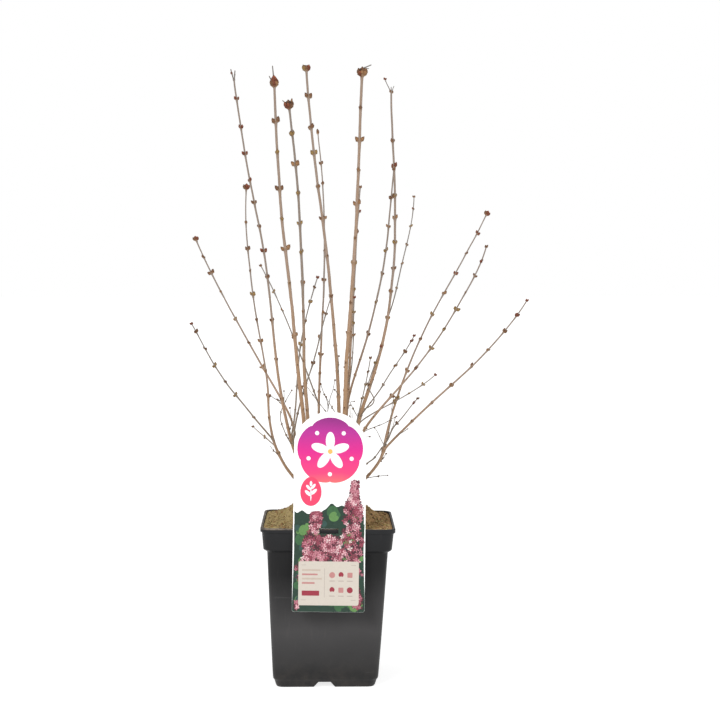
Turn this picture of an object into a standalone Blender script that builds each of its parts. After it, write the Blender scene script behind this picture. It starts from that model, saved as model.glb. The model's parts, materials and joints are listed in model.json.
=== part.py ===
"""Lilac bush, bare in its winter rest, standing in a square nursery pot.

The pot, the soil in it and a hang tag hooked on the rim are separate
pieces. The bush is a clump of two short old stools with young stems and
branches, and each stem, bough and branch is one tapering limb of its own.

Frame: the origin is the centre of the pot's flat underside, +Z is up and
the tag hangs on the -Y side. All lengths are in metres unless a table says
millimetres.
"""

import math

import bmesh
import bpy
import numpy as np
from mathutils import Vector

MM = 0.001
GAP = 0.0003            # air left between two pieces that touch

# ---- pot -----------------------------------------------------------------
POT_HEIGHT = 0.2314
WALL = 0.0016
# outer outline from the foot to the lip: height, half width, corner radius
POT_OUTSIDE = [
    (0.0000, 0.0698, 0.0100),
    (0.0022, 0.0713, 0.0112),
    (0.0092, 0.0733, 0.0118),
    (0.0125, 0.0754, 0.0118),
    (0.0210, 0.0761, 0.0118),
    (0.1086, 0.0813, 0.0122),
    (0.1959, 0.0860, 0.0125),
    (0.1999, 0.0914, 0.0135),
    (0.2250, 0.0937, 0.0140),
    (0.2250, 0.0959, 0.0150),
    (0.2304, 0.0959, 0.0150),
    (0.2314, 0.0951, 0.0146),
]
# the hollow inside it, a wall's thickness in
POT_INSIDE = [
    (0.0022, 0.0691, 0.0100),
    (0.0092, 0.0717, 0.0102),
    (0.0140, 0.0737, 0.0102),
    (0.0210, 0.0745, 0.0102),
    (0.1086, 0.0797, 0.0106),
    (0.1949, 0.0843, 0.0110),
    (0.2010, 0.0898, 0.0120),
    (0.2325, 0.0924, 0.0126),
]
CORNER_STEPS = 5
CHANNEL_DEPTH = 0.038    # each drain channel runs this far in under the foot
CHANNEL_HEIGHT = 0.0078
CHANNEL_HALF_FOOT = 0.0154
CHANNEL_HALF_TOP = 0.0087
CHANNEL_SHIFT = -0.0015  # the moulded channels sit a little off centre
DRAIN_RADIUS = 0.0045
DRAIN_CORNER = 0.046
# the soft pot stands a little askew: for each metre up it moves this far to
# the right, and at its lip it slopes down to the right by this much
ASKEW_ACROSS = 0.0164
ASKEW_DOWN = 0.0140

# ---- soil ----------------------------------------------------------------
SOIL_EDGE = 0.2300
SOIL_DOME = 0.0022
MOUND_CENTRE = (0.001, 0.012)
MOUND_HEIGHT = 0.0179
MOUND_FLAT = 0.049
MOUND_FOOT = 0.080
SOIL_RINGS = 9

# ---- tag -----------------------------------------------------------------
TAG_WIDTH = 0.1020
TAG_ABOVE = 0.1682       # from the middle of its slot to the top of its arch
TAG_BELOW = 0.1132
TAG_ARCH_RADIUS = 0.0525
TAG_THICK = 0.0006
TAG_TILT = math.radians(7.0)     # its foot leans away from the pot
TAG_ROLL = math.radians(0.8)     # and it hangs turned a little, top to the right
TAG_PLACE = (0.0055, -0.0972, 0.2289)
TAG_SLOT_HALF = (0.0130, 0.0036)

# ---- stools: foot and top in mm, radius at each in mm ---------------------
STOOLS = {
    "stool_left": ((-16.5, 4.0, 238.0), (-15.5, 6.0, 284.0), 10.5, 8.6),
    "stool_right": ((20.0, -1.0, 238.0), (21.5, -2.0, 284.0), 11.5, 9.6),
}

# ---- limbs ---------------------------------------------------------------
# Each limb starts at a height on its parent, runs through an optional bend
# and ends at its tip. A place is x, y, z in mm, followed by the limb's lean
# there in degrees from upright, to the right (+X) and to the back (+Y).
# A foot whose x and y are None sits on the parent's own centre line.
# The three last numbers are the radius at the foot, halfway and at the tip
# in mm.
LIMBS = {
    "stem_left_tall": ("stool_left", [(-20, 7, 274, -33, 5), (-65.5, 18, 407, -11, 4), (-95, 33, 640.5, -11.5, 3.5), (-137, 45, 890, -6, 2)], 2.6, 1.5, 1.3),
    "stem_left_front": ("stool_left", [(-20, 2, 265, -50.5, -19), (-83.5, -44, 414, -2.5, -15), (-103, -79, 559.5, -7.5, -12.5), (-110.5, -110, 710, 3, -11)], 2.4, 1.2, 0.85),
    "stem_centre_left": ("stool_left", [(-18.5, 4, 281, -11, -10), (-49.5, -36, 542, -6, -8), (-65, -57, 700, -4, -7), (-72.5, -75, 858, -1, -6)], 3.2, 2.2, 1.75),
    "stem_centre_front": ("stool_left", [(-12, 0, 277, -12, -17), (-32.5, -68, 538, -0.5, -12), (-38.5, -97.5, 690, -3, -10), (-51.5, -120, 823, -8, -9)], 3.1, 1.9, 1.45),
    "stem_centre_slim": ("stool_left", [(-12, 8.5, 281, -1, 19), (-5, 84, 539.5, 3, 14), (-13, 140, 807, -7, 10)], 2.1, 1.4, 0.85),
    "stem_centre_back": ("stool_right", [(15.5, -0.5, 281, 6, 11), (13.5, 34, 481.5, -4, 8.5), (-8.5, 62, 692.5, -7.5, 7), (-29.5, 85, 898, -3, 6)], 3, 2.1, 1.75),
    "stem_right_thick": ("stool_right", [(24.5, -7.5, 281, 0, -7), (30.5, -29, 479, 3, -5.5), (44, -47, 692, 1.5, -4.5), (51, -60, 875, 1, -4)], 3.4, 2.45, 1.9),
    "stem_right_back": ("stool_right", [(21.5, 4.5, 281, 6, 22), (52, 130, 720, 5, 11)], 2.6, 1.8, 1.1),
    "stem_right_tall": ("stool_right", [(29.5, 2.5, 270, -1, 8), (84, 32, 491, 13, 7), (102.5, 53, 679.5, 0.5, 6), (97, 70, 862, 0.5, 5)], 3.3, 1.85, 1.5),
    "bough_right_back": ("stool_right", [(24, 6, 260, 53.5, 26), (85, 38, 327.5, 11.5, 24), (148.5, 106.5, 501, 26.5, 19.5), (248.5, 165, 680, 26, 17)], 2.4, 1.3, 0.85),
    "bough_right_front": ("stem_right_tall", [(None, None, 323, 19, -38), (92, -56, 414, 40.5, -34), (167.5, -120.5, 520, 29, -29), (216.5, -175, 626, 14, -26)], 2.1, 1.15, 0.85),
    "bough_right_low": ("bough_right_back", [(None, None, 327.5, 41, -22), (155.5, 9, 401, 45.5, -21), (225.5, -16.5, 469.5, 42.5, -20), (287, -45, 550.5, 29.5, -18.5)], 1.75, 1.3, 0.85),
    "branch_left_back": ("stem_left_tall", [(None, None, 329, 11, 36), (-97.5, 89, 450, -30.5, 30), (-150.5, 138, 540.5, -29.5, 26.5), (-202.5, 185, 641, -22.5, 24)], 1.8, 1.35, 1),
    "branch_left_low": ("stem_left_front", [(None, None, 349, -37.5, -45), (-128, -95.5, 421, -35.5, -43), (-181, -185, 522.5, -24.5, -40)], 1.3, 1, 0.7),
    "branch_left_spur": ("stem_left_front", [(None, None, 339, -49, 53), (-107, 10, 365, -49, 53)], 0.9, 0.75, 0.6),
    "branch_centre_back": ("stem_left_tall", [(None, None, 346, 12, 5), (-37.5, 24, 486, 8.5, 4), (-13, 30, 583, 17.5, 4)], 1.3, 1.05, 0.8),
    "branch_centre_front": ("stem_left_tall", [(None, None, 337, 5, -20), (-26, -15, 440, 20, -10), (7, -30, 556, 19, -5.5)], 1.3, 1.05, 0.8),
    "branch_centre_cross": ("stem_centre_slim", [(None, None, 394.5, -21.5, 33.5), (-100.5, 150, 600.5, -29, 22)], 1.2, 1, 0.8),
    "branch_right_front": ("stem_right_back", [(None, None, 389.5, 7.5, -30), (61, -17, 504, 14.5, -26), (84, -71, 620.5, 7, -24), (93.5, -120, 733, 5, -23)], 1.75, 1.35, 0.95),
    "branch_right_short": ("stem_right_back", [(None, None, 423.5, 12.5, -11), (41.5, 30, 553.5, 3.5, -11)], 1, 0.85, 0.7),
    "branch_right_side": ("stem_right_tall", [(None, None, 389, 70, -22), (61, 2.5, 428.5, 15, -22), (79, -20, 483.5, 16, -22)], 0.9, 0.8, 0.7),
    "branch_right_high": ("stem_right_tall", [(None, None, 524, 24.5, 42), (115, 102.5, 605, 15, 37), (136.5, 175, 707.5, 2, 34)], 1.05, 0.85, 0.7),
    "branch_low_front": ("stem_right_tall", [(None, None, 338, 8, -18), (63.5, -30, 467.5, 7.5, -18)], 1, 0.85, 0.7),
    "branch_right_fan": ("stem_right_tall", [(None, None, 377.5, 28, -44), (82.5, -30, 430.5, 26.5, -39), (123.5, -85, 502, 24.5, -36)], 1, 0.85, 0.7),
    "branch_right_level": ("stem_right_tall", [(None, None, 367, 41, 32), (108.5, 38.5, 403.5, 61.5, 32), (162.5, 60, 437.5, 50, 32)], 1, 0.85, 0.7),
    "branch_right_fork": ("bough_right_back", [(None, None, 336, 37.5, -47.5), (103.5, 3, 371, 41.5, -47.5), (131, -40, 410, 40, -47.5)], 1, 0.85, 0.7),
}
SHIFT = (1.7, 0.0, 1.4)   # where the clump stands in the pot, added to every place
THICK_FROM = 1.8         # a limb with a foot this thick or more, in mm, has 8 sides
RING_STEP = 0.028        # distance between the rings along a limb

COLOURS = {
    "pot": ((0.036, 0.036, 0.038), 0.48),
    "soil": ((0.150, 0.088, 0.038), 0.95),
    "tag": ((0.80, 0.72, 0.72), 0.35),
    "stool": ((0.135, 0.082, 0.045), 0.85),
    "stem": ((0.300, 0.175, 0.095), 0.70),
    "branch": ((0.260, 0.165, 0.100), 0.75),
}


# ---- small helpers ---------------------------------------------------------
for old in list(bpy.data.objects):
    bpy.data.objects.remove(old, do_unlink=True)

def material(name, colour, roughness):
    made = bpy.data.materials.new(name)
    made.use_nodes = True
    shader = made.node_tree.nodes["Principled BSDF"]
    shader.inputs["Base Color"].default_value = (*colour, 1.0)
    shader.inputs["Roughness"].default_value = roughness
    shader.inputs["Metallic"].default_value = 0.0
    made.diffuse_color = (*colour, 1.0)
    return made


def add(name, mesh, look):
    colour, rough = COLOURS[look]
    mesh.materials.append(material(name, colour, rough))
    thing = bpy.data.objects.new(name, mesh)
    bpy.context.scene.collection.objects.link(thing)
    return thing


def guide(name, mesh):
    thing = bpy.data.objects.new(name, mesh)
    bpy.context.scene.collection.objects.link(thing)
    thing.hide_render = True
    thing.display_type = "WIRE"
    return thing


def cut(thing, *cutters):
    for cutter in cutters:
        step = thing.modifiers.new("cut_" + cutter.name, "BOOLEAN")
        step.operation = "DIFFERENCE"
        step.solver = "EXACT"
        step.object = cutter


def loft(name, rings, smooth=None):
    """A closed body through rings of the same number of points, capped."""
    made = bmesh.new()
    rows = [[made.verts.new(p) for p in ring] for ring in rings]
    for low, high in zip(rows, rows[1:]):
        for k in range(len(low)):
            n = (k + 1) % len(low)
            made.faces.new((low[k], low[n], high[n], high[k]))
    made.faces.new(rows[0][::-1])
    made.faces.new(rows[-1])
    bmesh.ops.recalc_face_normals(made, faces=made.faces)
    mesh = bpy.data.meshes.new(name)
    made.to_mesh(mesh)
    made.free()
    if smooth:
        mesh.shade_smooth()
        mesh.set_sharp_from_angle(angle=math.radians(smooth))
    return mesh


def rounded_square(half, corner, z, steps=CORNER_STEPS):
    """Points of a square with round corners, anticlockwise from the right."""
    points = []
    for quarter in range(4):
        turn = quarter * math.pi / 2
        cx = (half - corner) * (1 if quarter in (0, 3) else -1)
        cy = (half - corner) * (1 if quarter in (0, 1) else -1)
        for k in range(steps + 1):
            a = turn + k / steps * math.pi / 2
            points.append((cx + corner * math.cos(a), cy + corner * math.sin(a), z))
    return points


def askew(p):
    """A point of the upright pot, moved to where it is on the real one."""
    x, y, z = p
    return (x + ASKEW_ACROSS * z, y, z - ASKEW_DOWN * x * max(0.0, z) / POT_HEIGHT)


# ---- limbs: centre lines and tubes ----------------------------------------
def shifted(place):
    """A place of the tables, moved to where the clump stands."""
    return [None if v is None else v + d for v, d in zip(place[:3], SHIFT)] + list(place[3:])


def slope(degrees):
    return math.tan(math.radians(degrees))


class Line:
    """A limb's centre line: smooth spans between places with known leans."""

    def __init__(self, places):
        self.at = [np.array(p[:3], float) * MM for p in places]
        self.lean = [(slope(p[3]), slope(p[4])) for p in places]

    def span(self, k, t):
        a, b = self.at[k], self.at[k + 1]
        rise = b[2] - a[2]
        m0 = np.array([self.lean[k][0] * rise, self.lean[k][1] * rise, rise])
        m1 = np.array([self.lean[k + 1][0] * rise, self.lean[k + 1][1] * rise, rise])
        return ((2 * t**3 - 3 * t**2 + 1) * a + (t**3 - 2 * t**2 + t) * m0
                + (-2 * t**3 + 3 * t**2) * b + (t**3 - t**2) * m1)

    def at_height(self, z):
        for k in range(len(self.at) - 1):
            low, high = self.at[k][2], self.at[k + 1][2]
            if z <= high or k == len(self.at) - 2:
                return self.span(k, (z - low) / (high - low))

    def points(self, step):
        out = [self.at[0]]
        for k in range(len(self.at) - 1):
            length = np.linalg.norm(self.at[k + 1] - self.at[k])
            count = max(2, round(length / step))
            out += [self.span(k, i / count) for i in range(1, count + 1)]
        return out


def tube(name, points, radii, sides, extra=0.0):
    """A tapering tube round a line, with flat ends. extra makes it fatter
    and longer, for a guide that cuts its neighbours with room to spare."""
    points = [Vector(p) for p in points]
    if extra:
        points[0] = points[0] + (points[0] - points[1]).normalized() * extra
        points[-1] = points[-1] + (points[-1] - points[-2]).normalized() * extra
    along = []
    for k in range(len(points)):
        a, b = points[max(0, k - 1)], points[min(len(points) - 1, k + 1)]
        along.append((b - a).normalized())
    side = Vector((1, 0, 0))
    rings = []
    for k, point in enumerate(points):
        side = (side - along[k] * side.dot(along[k])).normalized()
        up = along[k].cross(side)
        radius = radii[k] + extra
        rings.append([
            point + (side * math.cos(2 * math.pi * s / sides) + up * math.sin(2 * math.pi * s / sides)) * radius
            for s in range(sides)
        ])
    return loft(name, rings, smooth=50)


TUBES = {}
for name, (foot, top, r_foot, r_top) in STOOLS.items():
    a, b = Vector(shifted(foot)) * MM, Vector(shifted(top)) * MM
    steps = 5
    points = [a.lerp(b, k / (steps - 1)) for k in range(steps)]
    # a stool swells a little where it meets the soil and at its knuckle
    radii = [(r_foot + (r_top - r_foot) * (k / (steps - 1)) ** 0.7) * MM * (1.0, 1.0, 0.95, 0.98, 1.0)[k] for k in range(steps)]
    TUBES[name] = (points, radii, 12)

LINES = {}
for name, (parent, places, r_foot, r_mid, r_tip) in LIMBS.items():
    places = [shifted(p) for p in places]
    if places[0][0] is None:
        on = LINES[parent].at_height(places[0][2] * MM)
        places[0][0], places[0][1] = on[0] / MM, on[1] / MM
    line = Line(places)
    LINES[name] = line
    points = line.points(RING_STEP)
    last = len(points) - 1
    radii = [float(np.interp(k / last, (0.0, 0.5, 1.0), (r_foot, r_mid, r_tip))) * MM for k in range(last + 1)]
    TUBES[name] = (points, radii, 8 if r_foot >= THICK_FROM else 6)

STOOL_GUIDES = {}
for name in STOOLS:
    points, radii, sides = TUBES[name]
    add(name, tube(name, points, radii, sides), "stool")
    STOOL_GUIDES[name] = guide(name + "_room", tube(name + "_room", points, radii, sides, 0.0004))

GUIDES = dict(STOOL_GUIDES)
for name, (parent, *_) in LIMBS.items():
    points, radii, sides = TUBES[name]
    look = "stem" if name.startswith(("stem", "bough")) else "branch"
    limb = add(name, tube(name, points, radii, sides), look)
    if parent not in GUIDES:
        GUIDES[parent] = guide(parent + "_room", tube(parent + "_room", *TUBES[parent], 0.0004))
    cut(limb, GUIDES[parent])


# ---- pot -------------------------------------------------------------------
def channel_block(name, quarter, out, depth, high, half_foot, half_top, grow=0.0):
    """A trapezoid bar from outside the foot in to a depth, one for each side."""
    below = 0.004
    half_below = half_foot + (half_foot - half_top) * below / high
    shift = CHANNEL_SHIFT if quarter in (0, 2) else 0.0
    profile = [(-half_below - grow, -below), (half_below + grow, -below), (half_top + grow, high + grow), (-half_top - grow, high + grow)]
    rings = []
    for y in (-out, -(POT_OUTSIDE[0][1] - depth) + grow):
        rings.append([(u + shift, y, v) for u, v in profile])
    c, s = math.cos(quarter * math.pi / 2), math.sin(quarter * math.pi / 2)
    rings = [[askew((x * c - y * s, x * s + y * c, z)) for x, y, z in ring] for ring in rings]
    return loft(name, rings)


def post(name, x, y, low, high, radius, sides=12):
    rings = [[askew((x + radius * math.cos(2 * math.pi * k / sides), y + radius * math.sin(2 * math.pi * k / sides), z))
              for k in range(sides)] for z in (low, high)]
    return loft(name, rings)


def askew_rings(rings):
    return [[askew(p) for p in ring] for ring in rings]


pot = add("pot", loft("pot", askew_rings([rounded_square(h, r, z) for z, h, r in POT_OUTSIDE]), smooth=35), "pot")
cavity = guide("pot_cavity", loft("pot_cavity", askew_rings([rounded_square(h, r, z) for z, h, r in POT_INSIDE])))
inner = [rounded_square(h - GAP, r - GAP, z + (GAP if k == 0 else 0.0)) for k, (z, h, r) in enumerate(POT_INSIDE[:-1])]
tunnels, tunnel_rooms, channels, drains = [], [], [], []
for quarter in range(4):
    args = (quarter, 0.09, CHANNEL_DEPTH, CHANNEL_HEIGHT, CHANNEL_HALF_FOOT, CHANNEL_HALF_TOP)
    channels.append(guide(f"channel_{quarter}", channel_block(f"channel_{quarter}", *args)))
    tunnels.append(guide(f"tunnel_{quarter}", channel_block(f"tunnel_{quarter}", *args, WALL)))
    tunnel_rooms.append(guide(f"tunnel_room_{quarter}", channel_block(f"tunnel_room_{quarter}", *args, WALL + GAP + 0.0001)))
    a = quarter * math.pi / 2 + math.pi / 4
    corner = DRAIN_CORNER * math.sqrt(2)
    drains.append(guide(f"drain_corner_{quarter}", post(f"drain_corner_{quarter}", corner * math.cos(a), corner * math.sin(a), -0.003, 0.006, DRAIN_RADIUS)))
    a = quarter * math.pi / 2
    drains.append(guide(f"drain_roof_{quarter}", post(f"drain_roof_{quarter}", 0.043 * math.cos(a), 0.043 * math.sin(a), 0.004, 0.014, DRAIN_RADIUS * 0.9)))
cut(cavity, *tunnels)
cut(pot, cavity, *channels, *drains)


# ---- soil ------------------------------------------------------------------
def soil_height(x, y):
    """The surface: nearly level at the walls, heaped over the old root ball."""
    flat = SOIL_DOME * (1 - (x / 0.093) ** 2) * (1 - (y / 0.093) ** 2)
    away = math.hypot(x - MOUND_CENTRE[0], y - MOUND_CENTRE[1])
    t = min(1.0, max(0.0, (MOUND_FOOT - away) / (MOUND_FOOT - MOUND_FLAT)))
    heap = MOUND_HEIGHT * t * t * (3 - 2 * t)
    rough = 0.0009 * (math.sin(61 * x + 1.3) * math.cos(73 * y - 0.4) + 0.7 * math.sin(127 * x - 88 * y + 2.1))
    fade = min(1.0, (0.0914 - max(abs(x), abs(y))) / 0.02)
    return SOIL_EDGE + flat + heap + rough * max(0.0, fade)


edge_z = SOIL_EDGE
t = (edge_z - POT_INSIDE[-2][0]) / (POT_INSIDE[-1][0] - POT_INSIDE[-2][0])
edge_half = POT_INSIDE[-2][1] + (POT_INSIDE[-1][1] - POT_INSIDE[-2][1]) * t - GAP
edge_round = POT_INSIDE[-2][2] + (POT_INSIDE[-1][2] - POT_INSIDE[-2][2]) * t - GAP
made = bmesh.new()
rows = [[made.verts.new(askew(p)) for p in ring] for ring in inner]
rim = rounded_square(edge_half, edge_round, edge_z)
rows.append([made.verts.new(askew(p)) for p in rim])
for k in range(1, SOIL_RINGS):
    s = 1 - k / SOIL_RINGS
    mix = (k / SOIL_RINGS) ** 0.8        # rings go from square to round
    ring = []
    for n, (x, y, _) in enumerate(rim):
        a = math.atan2(y, x)
        r = edge_half * 1.02
        px, py = (x * (1 - mix) + r * math.cos(a) * mix) * s, (y * (1 - mix) + r * math.sin(a) * mix) * s
        ring.append(made.verts.new(askew((px, py, soil_height(px, py)))))
    rows.append(ring)
for low, high in zip(rows, rows[1:]):
    for k in range(len(low)):
        n = (k + 1) % len(low)
        made.faces.new((low[k], low[n], high[n], high[k]))
made.faces.new(rows[0][::-1])
middle = made.verts.new(askew((0.0, 0.0, soil_height(0.0, 0.0))))
for k in range(len(rows[-1])):
    made.faces.new((rows[-1][k], rows[-1][(k + 1) % len(rows[-1])], middle))
bmesh.ops.triangulate(made, faces=[f for f in made.faces if len(f.verts) == 4])
bmesh.ops.recalc_face_normals(made, faces=made.faces)
soil_mesh = bpy.data.meshes.new("soil")
made.to_mesh(soil_mesh)
made.free()
soil = add("soil", soil_mesh, "soil")
cut(soil, *tunnel_rooms, *STOOL_GUIDES.values())


# ---- tag -------------------------------------------------------------------
def tag_outline():
    """The card from its foot round its arch, as (across, up) in its plane."""
    half = TAG_WIDTH / 2
    centre = TAG_ABOVE - TAG_ARCH_RADIUS
    start = math.acos(half / TAG_ARCH_RADIUS)
    r = 0.003
    points = []
    for cx, cy, a0 in ((-half + r, -TAG_BELOW + r, math.pi), (half - r, -TAG_BELOW + r, 1.5 * math.pi)):
        for k in range(4):
            a = a0 + k / 3 * math.pi / 2
            points.append((cx + r * math.cos(a), cy + r * math.sin(a)))
    for k in range(25):
        a = start + (math.pi - 2 * start) * k / 24
        points.append((TAG_ARCH_RADIUS * math.cos(a), centre + TAG_ARCH_RADIUS * math.sin(a)))
    return points


def on_tag(u, w, out=0.0):
    """World place of a point of the card; out is away from the pot."""
    c, s = math.cos(TAG_TILT), math.sin(TAG_TILT)
    x0, y0, z0 = TAG_PLACE
    turn_c, turn_s = math.cos(TAG_ROLL), math.sin(TAG_ROLL)
    u, w = u * turn_c + w * turn_s, w * turn_c - u * turn_s
    return (x0 + u, y0 + w * s - out * c, z0 + w * c + out * s)


outline = tag_outline()
tag_mesh = loft("tag", [[on_tag(u, w, 0.0) for u, w in outline], [on_tag(u, w, TAG_THICK) for u, w in outline]])
tag = add("tag", tag_mesh, "tag")
a, b = TAG_SLOT_HALF
slot = guide("tag_slot", loft("tag_slot", [[on_tag(u, w, o) for u, w in ((-a, -b), (a, -b), (a, b), (-a, b))] for o in (-0.002, 0.003)]))
cut(tag, slot)

# the hook folds back at the slot's upper edge, over the rim and down inside
HOOK_LINE = [(-0.0962, 0.2330), (-0.0953, 0.2324), (-0.0924, 0.2323), (-0.0913, 0.2318), (-0.0909, 0.2309)]
HOOK_THICK = 0.0005
outer_side, inner_side = [], []
for k, (y, z) in enumerate(HOOK_LINE):
    ay, az = HOOK_LINE[max(0, k - 1)]
    by, bz = HOOK_LINE[min(len(HOOK_LINE) - 1, k + 1)]
    length = math.hypot(by - ay, bz - az)
    ny, nz = -(bz - az) / length * HOOK_THICK / 2, (by - ay) / length * HOOK_THICK / 2
    outer_side.append((y + ny, z + nz))
    inner_side.append((y - ny, z - nz))
strip = outer_side + inner_side[::-1]
hook_half = TAG_SLOT_HALF[0] - 0.001
slope_down = ASKEW_DOWN * TAG_PLACE[0]
hook = loft("tag_hook", [[(TAG_PLACE[0] + x, y, z - slope_down) for y, z in strip] for x in (-hook_half, hook_half)])
add("tag_hook", hook, "tag")
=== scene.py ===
"""The looks of a bare lilac bush standing in a square nursery pot.

Every limb, both stools, the soil, the pot and the tag get a fine mesh in
place of their plain solid. Buds, leaf scars, bark spots, fine twigs, dry
stubs, soil crumbs and the print of the tag are joined meshes, each kind
apart. Lengths are in metres unless a table says millimetres. +X is right
and +Y is away from the camera. Nothing here is left to chance: every random
choice has its seed.
"""

import json
import math

import bmesh
import bpy
import numpy as np
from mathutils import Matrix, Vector
from mathutils.geometry import delaunay_2d_cdt

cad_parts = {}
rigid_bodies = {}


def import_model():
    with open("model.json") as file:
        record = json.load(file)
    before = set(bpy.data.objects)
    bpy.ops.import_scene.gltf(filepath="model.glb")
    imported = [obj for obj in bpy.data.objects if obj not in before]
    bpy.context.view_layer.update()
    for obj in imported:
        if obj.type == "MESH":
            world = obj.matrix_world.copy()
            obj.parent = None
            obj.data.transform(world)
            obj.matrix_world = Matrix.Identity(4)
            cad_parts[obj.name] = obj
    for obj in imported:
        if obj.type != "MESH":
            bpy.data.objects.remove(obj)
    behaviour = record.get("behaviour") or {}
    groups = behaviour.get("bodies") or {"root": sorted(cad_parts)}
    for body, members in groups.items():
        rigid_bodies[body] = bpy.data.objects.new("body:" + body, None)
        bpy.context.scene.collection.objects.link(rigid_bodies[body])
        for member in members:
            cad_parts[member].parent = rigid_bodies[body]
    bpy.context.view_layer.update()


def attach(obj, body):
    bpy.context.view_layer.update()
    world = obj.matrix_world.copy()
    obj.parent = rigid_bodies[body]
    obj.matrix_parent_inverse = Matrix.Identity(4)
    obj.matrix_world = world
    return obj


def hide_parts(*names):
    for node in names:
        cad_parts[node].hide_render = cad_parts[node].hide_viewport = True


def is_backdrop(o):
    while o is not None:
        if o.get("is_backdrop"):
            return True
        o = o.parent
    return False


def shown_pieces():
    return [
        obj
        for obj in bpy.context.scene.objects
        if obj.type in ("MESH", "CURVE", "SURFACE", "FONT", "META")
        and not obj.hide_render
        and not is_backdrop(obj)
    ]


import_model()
scene = bpy.context.scene
MM = 0.001

# ============================================================================
# camera, light, floor
# ============================================================================
eye = bpy.data.cameras.new("camera")
eye.lens = 85.243
eye.sensor_width = 36.0
eye.clip_start, eye.clip_end = 0.05, 200.0
camera = bpy.data.objects.new("camera", eye)
camera.location = (0.0017, -2.4835, 0.6016)
camera.rotation_euler = (math.radians(90.0 - 3.1467), 0.0, math.radians(-1.1338))
scene.collection.objects.link(camera)
scene.camera = camera

scene.view_settings.view_transform = "Standard"
scene.view_settings.look = "None"
scene.view_settings.exposure = 0.0
scene.view_settings.gamma = 1.0

world = bpy.data.worlds.new("studio")
scene.world = world
world.use_nodes = True
tree = world.node_tree
glow = tree.nodes["Background"]
glow.inputs["Color"].default_value = (1.0, 1.0, 1.0, 1.0)
glow.inputs["Strength"].default_value = 0.50
wall = tree.nodes.new("ShaderNodeBackground")
wall.inputs["Color"].default_value = (1.0, 1.0, 1.0, 1.0)
wall.inputs["Strength"].default_value = 1.0
seen = tree.nodes.new("ShaderNodeLightPath")
either = tree.nodes.new("ShaderNodeMixShader")
tree.links.new(seen.outputs["Is Camera Ray"], either.inputs["Fac"])
tree.links.new(glow.outputs[0], either.inputs[1])
tree.links.new(wall.outputs[0], either.inputs[2])
tree.links.new(either.outputs[0], tree.nodes["World Output"].inputs["Surface"])


def soft_sun(name, comes_from, strength, spread):
    """An even light over the whole floor, with soft shadows."""
    lamp = bpy.data.lights.new(name, "SUN")
    lamp.energy = strength
    lamp.angle = math.radians(spread)
    thing = bpy.data.objects.new(name, lamp)
    thing.rotation_euler = Vector(comes_from).to_track_quat("Z", "Y").to_euler()
    scene.collection.objects.link(thing)


soft_sun("key", (-0.50, -0.80, 0.62), 2.05, 24)
soft_sun("fill", (0.85, -0.60, 0.40), 0.95, 36)
soft_sun("back", (0.30, 0.85, 0.75), 0.45, 40)


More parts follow.
